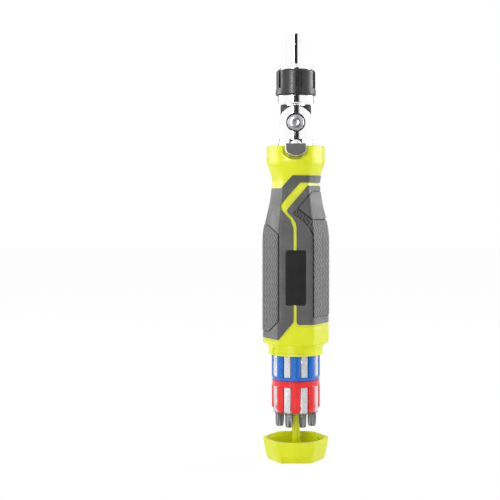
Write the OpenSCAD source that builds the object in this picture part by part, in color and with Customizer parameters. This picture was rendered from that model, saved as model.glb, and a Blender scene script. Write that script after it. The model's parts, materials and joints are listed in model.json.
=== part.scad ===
// Ratcheting screwdriver with a folding head and a bit cartridge that draws out of the handle.
// Millimetres, +Z up. The origin is the middle of the underside of the end cap.
// The cartridge stands drawn out, the head is straight and the collar is at its middle setting.

/* [Handle] */
// Length of the handle from the base shoulder to the top of the bolster
handle_len = 117.7; // [112:0.1:124]
// Half width of the core across its corners, in the grip
core_r = 19.3; // [18.8:0.1:20.5]
// Half width of the core across its corners, at the waist
waist_r = 14.2; // [13.6:0.1:15.5]
// Half width of the bolster across its corners
bolster_r = 17.6; // [17.2:0.1:18.6]
// Height of the straight part of the bolster
bolster_h = 10; // [9.6:0.1:11.5]
// Height of the hollow curve from the waist up to the bolster
bolster_curve_h = 13.6; // [12:0.1:15]
// Height of the long curve from the grip up to the waist
grip_curve_h = 33.2; // [30:0.1:36]
// Distance of a flat from the axis, as a share of the half width across corners
flat_share = 0.9; // [0.895:0.005:0.93]
// How far the soft grip stands proud of the core
grip_proud = 0.8; // [0.4:0.1:1.1]
// How deep the soft grip is set into the core
grip_sunk = 0.8; // [0.4:0.1:1]
// How far the base ring stands proud of the core
base_proud = 0.5; // [0.2:0.1:0.7]
// Radius of the bore that takes the cartridge
bore_r = 14.8; // [14.6:0.1:15]
// Clear height above the closed cartridge
bore_spare = 1.6; // [1:0.1:4]

/* [Badge plate] */
// Width of the bare plate on the front flat
badge_w = 11.9; // [9:0.1:12.5]
// Height of the bare plate
badge_h = 32.2; // [24:0.1:34]
// Thickness of the bare plate
badge_t = 1.3; // [1:0.1:1.6]
// Corner radius of the bare plate
badge_corner = 1; // [0.4:0.1:2]
// Height of the middle of the plate above the base shoulder
badge_rise = 40; // [36:0.1:44]

/* [End cap and bayonet] */
// Height of the end cap
cap_h = 13; // [12.6:0.1:15]
// Distance that the cap and cartridge travel to close
cap_travel = 56.4; // [54:0.1:58]
// Half width of the cap across its corners at the rim
cap_r = 19.8; // [19.6:0.1:20.3]
// Half width of the cap across its corners at half its height
cap_mid_r = 18.7; // [18.5:0.1:18.9]
// Half width of the cap across its corners at the foot
cap_foot_r = 17; // [16.8:0.1:17.6]
// Thickness of the cap floor
cap_floor = 3.4; // [3.2:0.1:4]
// Gap between the rim and the base ring when the cap is closed
closed_gap = 0.1; // [0.05:0.05:0.3]
// Radius of the neck that the cap fits over
neck_r = 16.3; // [16.1:0.05:16.4]
// Radius of the short ring at the root of the neck
neck_root_r = 17; // [16.7:0.05:17.1]
// Height of the neck
neck_h = 6.4; // [6:0.1:6.8]
// Gap between the neck and the cap
cap_gap = 0.15; // [0.1:0.05:0.25]
// How far a lug stands in from the cap wall
lug_depth = 0.85; // [0.6:0.05:1]
// Height of a lug
lug_h = 2; // [1.6:0.1:2.2]
// Angle that a lug spans
lug_angle = 15; // [10:0.5:15.5]
// Width of the notch in the foot of the cap
notch_w = 15.7; // [10:0.1:16]
// Height of the notch in the foot of the cap
notch_h = 5.2; // [3:0.1:5.4]
// Depth of the notch in the foot of the cap
notch_depth = 0.6; // [0.3:0.1:0.7]

/* [Cartridge and bits] */
// Outer radius of both carriers
carrier_r = 14.3; // [14.1:0.1:14.4]
// Height of the lower carrier
lower_carrier_h = 17.5; // [17:0.1:19]
// Height of the upper carrier
upper_carrier_h = 20; // [18.5:0.1:22]
// Height of the underside of the lower carrier above the ground
carrier_rise = 30.5; // [30:0.1:31.5]
// Number of bits in each carrier
bit_count = 8; // [6:1:8]
// Radius of the circle that the bits stand on
bit_circle_r = 10.4; // [10.3:0.1:10.5]
// Hexagon size of a bit across its flats, a quarter inch
bit_flats = 6.35; // [6.2:0.05:6.4]
// Length of a bit
bit_len = 25; // [24.6:0.1:25.4]
// Length of the hexagon part of a bit
bit_hex_len = 15; // [13:0.1:16]
// Radius of a bit beyond its hexagon
bit_shank_r = 2.5; // [2.2:0.1:2.8]
// Gap between a bit and its slot
slot_gap = 0.12; // [0.08:0.01:0.15]
// Width of the window in front of a bit
window_w = 4.1; // [3:0.1:4.4]
// Width of the post through the carriers
post_w = 4.7; // [4.2:0.1:5.2]
// Thickness of a rib of the post
post_rib = 1.5; // [1.2:0.1:2]

/* [Folding head] */
// Radius of the yoke, before its slot is cut
yoke_r = 10.3; // [10.1:0.1:10.4]
// Radius of the flange at the foot of the yoke
flange_r = 10.9; // [10.7:0.1:11.2]
// Height of the flange at the foot of the yoke
flange_h = 2.8; // [2.2:0.1:2.8]
// Radius of the ears about the hinge pin
ear_r = 9.8; // [9.6:0.1:9.9]
// Height of the hinge pin above the bolster
pin_rise = 13.8; // [13.7:0.1:14.6]
// Radius of the hinge pin
pin_r = 3; // [2.6:0.1:3.4]
// Radius of the head of the hinge pin
pin_head_r = 4.9; // [4.4:0.1:5]
// Radius of the round tongue about the hinge pin
tongue_r = 9.1; // [8.9:0.1:9.2]
// Thickness of the tongue
tongue_t = 7.8; // [7.4:0.1:8.4]
// Thickness of a thrust washer
washer_t = 0.3; // [0.2:0.05:0.5]
// Angle between two locked positions of the head
lock_step = 15; // [15:15:30]
// Radius of the yoke shank inside the handle
shank_r = 8; // [7.5:0.1:8.2]
// Length of the yoke shank inside the handle
shank_len = 21; // [19:0.1:23]

/* [Lock button] */
// Width of the lock button
button_w = 12.7; // [10:0.1:13]
// Height of the lock button
button_h = 7.5; // [7:0.1:7.8]
// How far the lock button stands above the bolster
button_rise = 1.1; // [0.6:0.1:1.3]
// Distance that the lock button travels
button_travel = 2.2; // [1.8:0.1:2.3]
// Width of the recess around the lock button
recess_w = 15.4; // [13.6:0.1:15.6]
// Width of the steel slide behind the button
slide_w = 7; // [6:0.1:7.4]
// Wire thickness of the lock spring
lock_wire = 0.6; // [0.4:0.05:0.7]

/* [Ratchet] */
// Height of the chrome housing ring below the collar
housing_h = 6; // [5.4:0.1:7]
// Radius of the chrome housing ring
housing_r = 11.25; // [11:0.05:11.5]
// Distance from the hinge pin to the underside of the housing
housing_rise = 10.1; // [10:0.1:11]
// Height of the direction collar
collar_h = 15.4; // [15:0.1:17]
// Radius of the direction collar at its knurled pads
collar_r = 11.75; // [11.6:0.05:12]
// Radius of the plain band at the foot of the collar
collar_band_r = 12.15; // [12:0.05:12.4]
// Number of channels around the collar
channel_count = 6; // [4:1:8]
// Angle that a channel spans
channel_angle = 18; // [8:1:24]
// Depth of a channel
channel_depth = 0.6; // [0.3:0.1:0.8]
// Radius of the tube of the ratchet body
body_r = 9.2; // [9:0.05:9.4]
// Angle that the collar turns each way from its middle setting
collar_swing = 20; // [12:1:22]
// Radius of the ratchet gear over its teeth
gear_r = 5.2; // [5:0.05:5.3]
// Number of teeth on the ratchet gear
tooth_count = 24; // [12:12:24]
// Depth of a tooth
tooth_depth = 1; // [0.8:0.05:1.05]
// Angle that a pawl tilts each way
pawl_swing = 6; // [4:0.5:6.5]

/* [Bit holder] */
// Length of the bit holder tube beyond the nose ring
holder_len = 19.1; // [17:0.1:24]
// Radius of the bit holder tube
holder_r = 5.5; // [5:0.1:6]
// Depth of the hexagon socket
socket_depth = 12; // [10:0.1:14]
// Gap all round between a bit and the socket
socket_gap = 0.08; // [0.05:0.01:0.12]
// Radius of the spindle
spindle_r = 4; // [3.8:0.05:4.1]
// Radius of the nose ring
nose_r = 9.8; // [9.6:0.1:10.4]
// Height of the nose ring
nose_h = 2.3; // [2:0.1:3]

/* [Hidden] */
$fn = 96;

// Overrun of a cut beyond the face that it opens
cut = 1;
// Half width of a block that is wider than the whole tool
reach = 40;
// Running clearance of a shaft, a pin or a turning ring
run = 0.05;
// Steps along each curve of an outline
curve_steps = 6;
long_curve_steps = 10;
// Rounding of the edges of the large mouldings
edge = 0.8;
// Free space between parts of the ratchet above one another
ring_gap = 0.3;

// Heights along the axis
shoulder_z = cap_h + cap_travel + closed_gap;
neck_z = shoulder_z - neck_h;
bolster_top_z = shoulder_z + handle_len;
bolster_z = bolster_top_z - bolster_h;
waist_z = bolster_z - bolster_curve_h;
full_z = waist_z - grip_curve_h;
pin_z = bolster_top_z + pin_rise;
housing_z = pin_z + housing_rise;
collar_z = housing_z + housing_h + ring_gap;
collar_top_z = collar_z + collar_h;
body_top_z = collar_top_z + 2 * run;
nose_z = body_top_z;
holder_z = nose_z + nose_h + 3 * run;
holder_top_z = holder_z + holder_len;

// Heights in the cartridge
lower_top_z = carrier_rise + lower_carrier_h;
slot_floor = 2.4;
lower_bit_base_z = lower_top_z - slot_floor;
upper_floor = 1.4;
upper_bit_base_z = lower_top_z + upper_floor;
upper_top_z = lower_top_z + upper_carrier_h;
bore_top_z = upper_bit_base_z + bit_len + cap_travel + bore_spare;

base_r = core_r + base_proud;

// Cartridge: slots, post and bits
point_h = 2;
bit_corner_r = bit_flats / sqrt(3);
slot_corner_r = (bit_flats / 2 + slot_gap) / cos(30);
hub_r = norm([post_w, post_rib]) / 2 + run;
bit_neck = 1;
bit_tip_h = 5;
post_foot_depth = 1.5;
post_foot_r = 2.2;
gusset_h = 6;
gusset_share = 0.78;
post_collar_w = 1.7;
post_collar_h = 1.2;
post_top = 2.4;
retainer_h = 0.8;

// Bayonet: the places of the lugs, their play and the turn that locks the cap
lug_turns = [-140, 40];
lug_play = 0.5;
cap_turn = 60;
root_h = 0.8 * lug_h;

// The yellow stripe and the soft grips, drawn on the front and carried through to the back.
// Half width of the thin line on the front
line_half = 0.85;
// Middle of the thin line, a little left of the axis
line_x = -0.45;
// How far the corners of the outline lie below the top of the bolster
band_drop = 17.7;
band_low_drop = 22;
stripe_drop = 23.8;
left_drop = 25.2;
elbow_drop = 36.1;
line_drop = 49;
band_top_z = bolster_top_z - band_drop;
band_low_z = bolster_top_z - band_low_drop;
stripe_low_z = bolster_top_z - stripe_drop;
left_top_z = bolster_top_z - left_drop;
elbow_z = bolster_top_z - elbow_drop;
line_top_z = bolster_top_z - line_drop;
// How far the lower corners lie above the base shoulder
line_rise = 14;
right_rise = 12.4;
left_rise = 3.4;
line_foot_z = shoulder_z + line_rise;
right_foot_z = shoulder_z + right_rise;
left_foot_z = shoulder_z + left_rise;
// Places across the front, as shares of the half width of the core
top_corner_share = -0.454;
band_corner_share = -0.106;
stripe_corner_share = 0.13;
low_corner_share = 0.352;
elbow_share = -0.482;
inner_elbow_share = -0.262;
foot_corner_share = -0.539;

// Grip pads: a raised field on each side, drawn on the front and carried through
pad_rise = 0.3;
pad_edge_share = 0.472;
badge_front_y = -(core_r + grip_proud) * flat_share;

// Yoke, slot and pin
slot_half = tongue_t / 2 + washer_t + run;
slot_floor_z = pin_z - tongue_r - 0.5 * edge;
head_seat = 8;
head_h = 2.7;
head_dome = 1.1;
head_ring = 0.8;
washer_w = 2.6;
washer_r = pin_r + washer_w;

// Lock slide
slide_t = 2.7;
slide_front_y = -bolster_r * 0.655;
slide_play = 0.3;
arm_inset = 0.6;
arm_w = slide_w - 2 * arm_inset;
arm_h = 3;
arm_drop = 5.1;
arm_z = slot_floor_z - arm_drop;
arm_end_y = 3;
tooth_w = 1.5;
lock_depth = 1;
slide_rise = 3.6;
slide_top_z = bolster_top_z + slide_rise;
rim_t = 1.5;
rim_w = 0.5;
button_back_y = slide_front_y - rim_t;
button_front_y = -bolster_r * flat_share + 2 * run;
button_z = bolster_top_z + button_rise - button_h;
button_arc_h = 3;
recess_z = button_z - button_travel;
spring_r = 1.7;
spring_drop = 15;
spring_z = bolster_top_z - spring_drop;
spring_curls = 6;
shank_z = bolster_top_z - shank_len;
cross_pin_r = 1.5;
cross_pin_rise = 3;
cross_pin_z = shank_z + cross_pin_rise;

// Ratchet
cavity_r = 8;
cavity_rise = 2.4;
cavity_z = collar_z + cavity_rise;
gear_h = 5.6;
gear_z = cavity_z + ring_gap;
pawl_h = 5;
pawl_z = gear_z + run * 4;
pawl_top_z = pawl_z + pawl_h;
pawl_pivot_r = 6.6;
pawl_pivot_angle = -45;
pawl_eye_r = 1.1;
pawl_pin_r = 0.6;
pin_seat = 1.2;
pawl_post_r = 0.4;
pawl_post_x = 6.3;
spring_ring_h = 0.6;
spring_ring_r = 7.5;
selector_z = pawl_top_z + spring_ring_h + ring_gap;
selector_h = 1.6;
selector_top_z = selector_z + selector_h;
key_turns = [80, 200, 320];
key_half_angle = 8;
key_play = 2;
key_r = 9.9;
bushing_z = selector_top_z + ring_gap;
bushing_drop = 1.3;
bushing_top_z = body_top_z - bushing_drop;
snap_h = 0.6;
snap_depth = 0.4;
snap_z = bushing_z - snap_h - 2 * run;
snap_r = spindle_r - snap_depth;
spindle_rise = 3.5;
spindle_z = housing_z + spindle_rise;
detent_r = 1;
detent_rise = 1.2;
detent_z = collar_z + detent_rise;
detent_out = 0.3;
detent_wire = 0.24;
detent_seat_r = spindle_r + detent_rise;
// Middle of the channel of the collar that stands a little right of the front
channel_turn = -81;

// Bit socket
magnet_h = 3;
magnet_r = 2.5;
bit_ring_drop = 5;
bit_ring_h = 1;
bit_ring_r = 4.4;
bit_ring_t = 0.6;

// Outline of the core up the axis, as height and half width across corners
function grip_ease(t) = (1 - cos(180 * t)) / 2;
function handle_stations(extra) = concat(
    [[shoulder_z, core_r + extra]],
    [for (i = [0:long_curve_steps])
        let (t = i / long_curve_steps)
        [full_z + t * grip_curve_h, core_r + extra - (core_r - waist_r) * grip_ease(t)]],
    [for (i = [1:curve_steps])
        let (t = i / curve_steps)
        [waist_z + t * bolster_curve_h,
         waist_r + extra + (bolster_r - waist_r) * (1 - cos(90 * t))]],
    [[bolster_top_z - edge, bolster_r + extra],
     [bolster_top_z, bolster_r + extra - edge]]);

// Outline of the base ring up the axis
function base_stations() = [[shoulder_z, base_r - edge / 2], [shoulder_z + edge / 2, base_r],
    [line_foot_z, base_r]];

// Outline of the end cap up the axis
function cap_stations(mid_z) = [[0, cap_foot_r - edge], [edge / 2, cap_foot_r],
    [mid_z, cap_foot_r + (cap_mid_r - cap_foot_r) * 2 * mid_z / cap_h], [cap_h, cap_r]];

// A body with six flats and rounded corners: the corners follow one list of heights and half widths
// and the flats another
module six_sided(stations, flat_stations) {
    last = len(stations) - 1;
    slab_points = concat(
        [for (s = flat_stations) [s[1] * flat_share, s[0]]],
        [for (i = [last:-1:0]) [-flat_stations[i][1] * flat_share, flat_stations[i][0]]]);
    round_points = concat(
        [[0, stations[0][0]]],
        [for (s = stations) [s[1], s[0]]],
        [[0, stations[last][0]]]);
    intersection() {
        slab(slab_points, 0);
        slab(slab_points, 60);
        slab(slab_points, 120);
        rotate_extrude()
            polygon(round_points);
    }
}

module handle_form(extra) {
    six_sided(handle_stations(extra), handle_stations(extra));
}

module slab(points, turn) {
    rotate([0, 0, turn])
        rotate([90, 0, 90])
        translate([0, 0, -reach])
        linear_extrude(2 * reach)
        polygon(points);
}

// A shape drawn on the front (x across, y up) and carried through from y_from to y_to
module front_prism(y_from, y_to) {
    translate([0, y_to, 0])
        rotate([90, 0, 0])
        linear_extrude(y_to - y_from)
        children();
}

module ring(outer_r, inner_r, h) {
    difference() {
        cylinder(r = outer_r, h = h);
        translate([0, 0, -cut])
            cylinder(r = inner_r, h = h + 2 * cut);
    }
}

// A slice of a ring, from one angle to another
module ring_slice(outer_r, inner_r, h, from, to) {
    rotate([0, 0, from])
        rotate_extrude(angle = to - from)
        translate([inner_r, 0])
        square([outer_r - inner_r, h]);
}

// A rectangle with round corners, centred across and standing on y = 0
module round_rect(w, h, r) {
    translate([-w / 2 + r, 0])
        square([w - 2 * r, h]);
    translate([-w / 2, r])
        square([w, h - 2 * r]);
    for (x = [-w / 2 + r, w / 2 - r])
        for (y = [r, h - r])
            translate([x, y])
                circle(r = r, $fn = 32);
}

// A rectangle whose foot is an arc
module shield(w, h, arc_h) {
    arc_r = (w * w / 4 + arc_h * arc_h) / (2 * arc_h);
    intersection() {
        translate([-w / 2, 0])
            square([w, h]);
        union() {
            translate([0, arc_r])
                circle(r = arc_r);
            translate([-w / 2, arc_r])
                square([w, h]);
        }
    }
}

// A straight coil of round wire as one unbroken tube, standing on z = 0
function coil_point(r, h, curls, t) = [r * cos(360 * curls * t), r * sin(360 * curls * t), h * t];
module coil(r, wire_r, h, curls) {
    sides = 6;
    rings = curls * 8;
    points = [for (i = [0:rings])
        let (t = i / rings)
        let (c = coil_point(r, h, curls, t))
        let (out = [cos(360 * curls * t), sin(360 * curls * t), 0])
        for (k = [0:sides - 1])
            c + wire_r * (cos(360 * k / sides) * out + [0, 0, sin(360 * k / sides)])];
    walls = [for (i = [0:rings - 1])
        for (k = [0:sides - 1])
            let (a = i * sides + k)
            let (b = i * sides + (k + 1) % sides)
            each [[a, b + sides, a + sides], [a, b, b + sides]]];
    ends = [for (k = [1:sides - 2])
        each [[0, k + 1, k], [rings * sides, rings * sides + k, rings * sides + k + 1]]];
    polyhedron(points, concat(walls, ends));
}

// End cap and post

module cap_notch() {
    foot_y = -(cap_foot_r * flat_share - notch_depth);
    top_y = -((cap_foot_r + (cap_mid_r - cap_foot_r) * 2 * notch_h / cap_h) * flat_share - notch_depth);
    intersection() {
        rotate([90, 0, 90])
            translate([0, 0, -reach])
            linear_extrude(2 * reach)
            polygon([[foot_y, 0], [top_y, notch_h], [-reach, notch_h], [-reach, -cut], [foot_y, -cut]]);
        front_prism(-reach, 0)
            translate([0, -notch_h])
            round_rect(notch_w, 2 * notch_h, 1.5 * edge);
    }
}

module end_cap() {
    wall_r = neck_r + cap_gap;
    low_r = cap_foot_r * flat_share - 1.2 * edge;
    lug_top_z = cap_h - lug_h;
    color("GreenYellow") {
        difference() {
            six_sided(cap_stations(cap_h / 2), cap_stations(0.4 * cap_h));
            rotate_extrude()
                polygon([[0, cap_floor], [low_r, cap_floor], [wall_r, cap_h - neck_h],
                    [wall_r, cap_h - root_h - 2 * run], [neck_root_r + cap_gap, cap_h - root_h - 2 * run],
                    [neck_root_r + cap_gap, cap_h + cut], [0, cap_h + cut]]);
            cap_notch();
            translate([0, 0, cap_floor - post_foot_depth])
                cylinder(r = post_foot_r, h = cap_h);
        }
        for (turn = lug_turns)
            translate([0, 0, lug_top_z - lug_h])
                ring_slice(wall_r + cap_gap, wall_r - lug_depth, lug_h,
                    turn - lug_angle / 2, turn + lug_angle / 2);
    }
}

module center_post() {
    color("Yellow") {
        translate([0, 0, cap_floor - post_foot_depth])
            cylinder(r = post_foot_r, h = post_foot_depth);
        for (turn = [0, 90])
            rotate([0, 0, turn]) {
                translate([-post_w / 2, -post_rib / 2, cap_floor])
                    cube([post_w, post_rib, upper_top_z + post_top - cap_floor]);
                front_prism(-post_rib / 2, post_rib / 2)
                    polygon([[-post_w * gusset_share, cap_floor], [post_w * gusset_share, cap_floor],
                        [0, cap_floor + gusset_h]]);
            }
        translate([0, 0, carrier_rise - post_collar_h])
            ring(post_w / 2 + post_collar_w, post_rib / 2, post_collar_h);
    }
}

module post_retainer() {
    color("Silver")
        translate([0, 0, upper_top_z + run])
        difference() {
            cylinder(r = post_w / 2 + post_collar_w, h = retainer_h);
            for (turn = [0, 90])
                rotate([0, 0, turn])
                    translate([-post_w / 2, -post_rib / 2, -cut])
                        cube([post_w, post_rib, retainer_h + 2 * cut]);
        }
}

// Carriers and bits

// Hexagon slots with a window in front of each, from z_low up
module bit_slots(z_low, h, window_z, window_h) {
    for (i = [0:bit_count - 1])
        rotate([0, 0, -90 + (i + 0.5) * 360 / bit_count])
            translate([bit_circle_r, 0, 0]) {
                translate([0, 0, z_low])
                    rotate([0, 0, 30])
                    cylinder(r = slot_corner_r, h = h, $fn = 6);
                translate([0, -window_w / 2, window_z])
                    cube([carrier_r, window_w, window_h]);
            }
}

module hub_bore() {
    translate([0, 0, carrier_rise - reach])
        cylinder(r = hub_r, h = 3 * reach);
}

module lower_bit_carrier() {
    color("Crimson")
        difference() {
            union() {
                rotate_extrude()
                    polygon([[0, carrier_rise], [carrier_r - edge, carrier_rise],
                        [carrier_r, carrier_rise + 3 * edge], [carrier_r, lower_top_z], [0, lower_top_z]]);
                intersection() {
                    translate([0, 0, carrier_rise - point_h])
                        ring(carrier_r - edge, bit_circle_r, point_h + edge);
                    for (i = [0:bit_count - 1])
                        rotate([0, 0, i * 360 / bit_count])
                            front_prism(-carrier_r, 0)
                            polygon([[0, carrier_rise - point_h], [window_w / 2, carrier_rise],
                                [window_w / 2, carrier_rise + edge], [-window_w / 2, carrier_rise + edge],
                                [-window_w / 2, carrier_rise]]);
                }
            }
            bit_slots(carrier_rise - cut - point_h, lower_carrier_h - slot_floor + cut + point_h,
                carrier_rise - cut - point_h, lower_carrier_h - slot_floor + point_h - edge / 2);
            hub_bore();
        }
}

module upper_bit_carrier() {
    color("RoyalBlue")
        difference() {
            translate([0, 0, lower_top_z])
                cylinder(r = carrier_r, h = upper_carrier_h);
            bit_slots(upper_bit_base_z, reach, upper_bit_base_z, upper_carrier_h - upper_floor - 3 * edge);
            hub_bore();
        }
}

// One insert bit standing on its hexagon end at z = 0, with its tip up.
// Tips: 0 cross, 1 slot, 2 square, 3 star, 4 hexagon.
module insert_bit(tip, size) {
    groove_z = bit_hex_len * 0.62;
    difference() {
        union() {
            cylinder(r = bit_corner_r, h = bit_hex_len, $fn = 6);
            translate([0, 0, bit_hex_len])
                cylinder(r1 = bit_corner_r * cos(30), r2 = bit_shank_r, h = bit_neck);
            translate([0, 0, bit_hex_len + bit_neck])
                cylinder(r = bit_shank_r, h = bit_len - bit_hex_len - bit_neck - bit_tip_h);
            translate([0, 0, bit_len - bit_tip_h])
                bit_tip(tip, size * bit_shank_r, bit_tip_h);
        }
        translate([0, 0, groove_z])
            ring(bit_corner_r + cut, bit_corner_r * 0.94, bit_flats / 4);
    }
}

module bit_tip(tip, r, h) {
    if (tip == 0)
        difference() {
            cylinder(r1 = r, r2 = r * 0.45, h = h);
            for (turn = [0:90:270])
                rotate([0, 0, turn + 45])
                    translate([r * 0.28, r * 0.28, -cut])
                    cube([r, r, h + 2 * cut]);
        }
    if (tip == 1)
        intersection() {
            cylinder(r = r, h = h);
            front_prism(-r, r)
                polygon([[-r, 0], [r, 0], [r * 0.18, h], [-r * 0.18, h]]);
        }
    if (tip == 2)
        translate([0, 0, h / 2])
            cube([r * 1.3, r * 1.3, h], center = true);
    if (tip == 3)
        difference() {
            cylinder(r = r, h = h);
            for (turn = [0:60:300])
                rotate([0, 0, turn])
                    translate([r * 1.05, 0, -cut])
                    cylinder(r = r * 0.25, h = h + 2 * cut, $fn = 24);
        }
    if (tip == 4)
        cylinder(r = r, h = h, $fn = 6);
}

// Kind and size of each tip, the size as a share of the radius of the bit
lower_tips = [0, 0, 0, 0, 1, 1, 2, 2];
lower_size_shares = [0.8, 1, 0.9, 0.7, 1, 0.8, 0.9, 0.75];
upper_tips = [3, 3, 3, 3, 3, 4, 4, 4];
upper_size_shares = [0.6, 0.7, 0.8, 0.9, 1, 0.6, 0.8, 1];

function bit_turn(i) = -90 + (i - 0.5) * 360 / bit_count;

module lower_bit(i) {
    color("Silver")
        rotate([0, 0, bit_turn(i)])
        translate([bit_circle_r, 0, lower_bit_base_z - run])
        mirror([0, 0, 1])
        rotate([0, 0, 30])
        insert_bit(lower_tips[i - 1], lower_size_shares[i - 1]);
}

module upper_bit(i) {
    color("Silver")
        rotate([0, 0, bit_turn(i)])
        translate([bit_circle_r, 0, upper_bit_base_z + run])
        rotate([0, 0, 30])
        insert_bit(upper_tips[i - 1], upper_size_shares[i - 1]);
}

// Handle

// Left field of the soft grip: it wraps the left side and a band of it runs across to the right side
module left_field() {
    polygon([
        [-reach, left_top_z],
        [core_r * top_corner_share, left_top_z],
        [core_r * band_corner_share, band_top_z],
        [reach, band_top_z],
        [reach, band_low_z],
        [core_r * stripe_corner_share, band_low_z],
        [core_r * elbow_share, elbow_z + edge],
        [core_r * elbow_share, elbow_z - edge],
        [line_x - 3 * line_half, line_top_z + 6 * line_half],
        [line_x - line_half, line_top_z],
        [line_x - line_half, line_foot_z],
        [core_r * band_corner_share, line_foot_z - edge],
        [core_r * foot_corner_share, left_foot_z],
        [-reach, left_foot_z]]);
}

// Right field of the soft grip, below the stripe
module right_field() {
    polygon([
        [reach, stripe_low_z],
        [core_r * low_corner_share, stripe_low_z],
        [core_r * inner_elbow_share, elbow_z - 2 * edge],
        [core_r * inner_elbow_share, elbow_z - 4 * edge],
        [line_x - 2 * line_half, line_top_z + 8 * line_half],
        [line_x + line_half / 2, line_top_z + 4 * line_half],
        [line_x + line_half, line_top_z],
        [line_x + line_half, line_foot_z],
        [line_x + 2 * line_half, right_foot_z],
        [reach, right_foot_z]]);
}

// Raised field on the left side
module left_pad() {
    polygon([
        [-reach, elbow_z - 2 * edge],
        [-core_r * 0.9, elbow_z - 4 * edge],
        [-core_r * pad_edge_share, line_top_z - 7 * edge],
        [-core_r * pad_edge_share, line_foot_z + edge],
        [-core_r * 0.8, left_foot_z + 4.5 * edge],
        [-reach, left_foot_z + 4.5 * edge]]);
}

// Raised field on the right side, smooth above and textured below
module right_pad() {
    polygon([
        [reach, stripe_low_z - 4 * edge],
        [core_r * pad_edge_share, stripe_low_z - 4 * edge],
        [core_r * 0.06, elbow_z - 2 * edge],
        [-core_r * 0.05, elbow_z - 4 * edge],
        [core_r * 0.26, line_top_z + 7 * edge],
        [core_r * pad_edge_share, line_top_z - 3 * edge],
        [core_r * pad_edge_share, line_foot_z + 3 * edge],
        [reach, line_foot_z + 3 * edge]]);
}

module badge_shape(gap) {
    translate([0, shoulder_z + badge_rise - badge_h / 2 - gap])
        round_rect(badge_w + 2 * gap, badge_h + 2 * gap, badge_corner);
}

module badge_pocket() {
    front_prism(-reach, badge_front_y + badge_t + run)
        badge_shape(run);
}

module bayonet_track() {
    lug_low_z = neck_z + neck_h - 2 * lug_h;
    floor_r = neck_r + cap_gap - lug_depth - 2 * run;
    for (turn = lug_turns) {
        translate([0, 0, neck_z - cut])
            ring_slice(neck_root_r + cut, floor_r, neck_h - 1.5 * lug_h + cut,
                turn - lug_angle / 2 - lug_play, turn + lug_angle / 2 + lug_play);
        translate([0, 0, lug_low_z - 4 * run])
            ring_slice(neck_root_r + cut, floor_r, lug_h + 6 * run,
                turn - lug_angle / 2 - 2 * lug_play, turn + cap_turn + lug_angle / 2 + lug_play);
    }
}

module lock_recess() {
    side = (recess_w - button_w) / 2;
    front_prism(-reach, slide_front_y + run)
        translate([0, recess_z - run])
        shield(recess_w, bolster_h + 2 * button_h, button_arc_h + side / 2);
    translate([-slide_w / 2 - slide_play, slide_front_y - cut, recess_z - slide_play])
        cube([slide_w + 2 * slide_play, cut - slide_front_y, bolster_top_z]);
}

module handle_core() {
    color("GreenYellow")
        difference() {
            union() {
                handle_form(-grip_sunk);
                difference() {
                    union() {
                        handle_form(0);
                        six_sided(base_stations(), base_stations());
                    }
                    front_prism(-reach, reach)
                        left_field();
                    front_prism(-reach, reach)
                        right_field();
                }
                translate([0, 0, neck_z])
                    cylinder(r = neck_r, h = neck_h);
                translate([0, 0, shoulder_z - root_h])
                    cylinder(r = neck_root_r, h = root_h);
            }
            translate([0, 0, neck_z - cut])
                cylinder(r = bore_r, h = bore_top_z - neck_z + cut);
            bayonet_track();
            translate([0, 0, shank_z])
                cylinder(r = shank_r, h = shank_len + cut);
            translate([-core_r / 2, 0, cross_pin_z])
                rotate([0, 90, 0])
                cylinder(r = cross_pin_r, h = core_r);
            lock_recess();
            badge_pocket();
        }
}

module grip_field() {
    difference() {
        intersection() {
            handle_form(grip_proud);
            front_prism(-reach, reach)
                children(0);
        }
        difference() {
            handle_form(grip_proud + cut);
            handle_form(grip_proud - pad_rise);
            front_prism(-reach, reach)
                children(1);
        }
        handle_form(-grip_sunk);
        badge_pocket();
    }
}

module grip_left() {
    color("DimGray")
        grip_field() {
            left_field();
            left_pad();
        }
}

module grip_right() {
    color("DimGray")
        grip_field() {
            right_field();
            right_pad();
        }
}

module badge_plate() {
    color("Black")
        front_prism(badge_front_y, badge_front_y + badge_t)
        badge_shape(0);
}

// Folding head

// The space that the lock slide works in, cut through the front of the yoke
module slide_pocket() {
    pocket_z = arm_z - button_travel - slide_play;
    translate([-slide_w / 2 - slide_play, -reach, pocket_z])
        cube([slide_w + 2 * slide_play, reach + slide_front_y + slide_t + slide_play,
            slide_top_z + slide_play - pocket_z]);
    translate([-arm_w / 2 - slide_play, -yoke_r, pocket_z])
        cube([arm_w + 2 * slide_play, yoke_r + arm_end_y + slide_play,
            arm_z + arm_h + slide_play - pocket_z]);
    translate([-tooth_w - slide_play, -arm_end_y - slide_play, pocket_z])
        cube([2 * (tooth_w + slide_play), 2 * (arm_end_y + slide_play), slot_floor_z + cut - pocket_z]);
}

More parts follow.
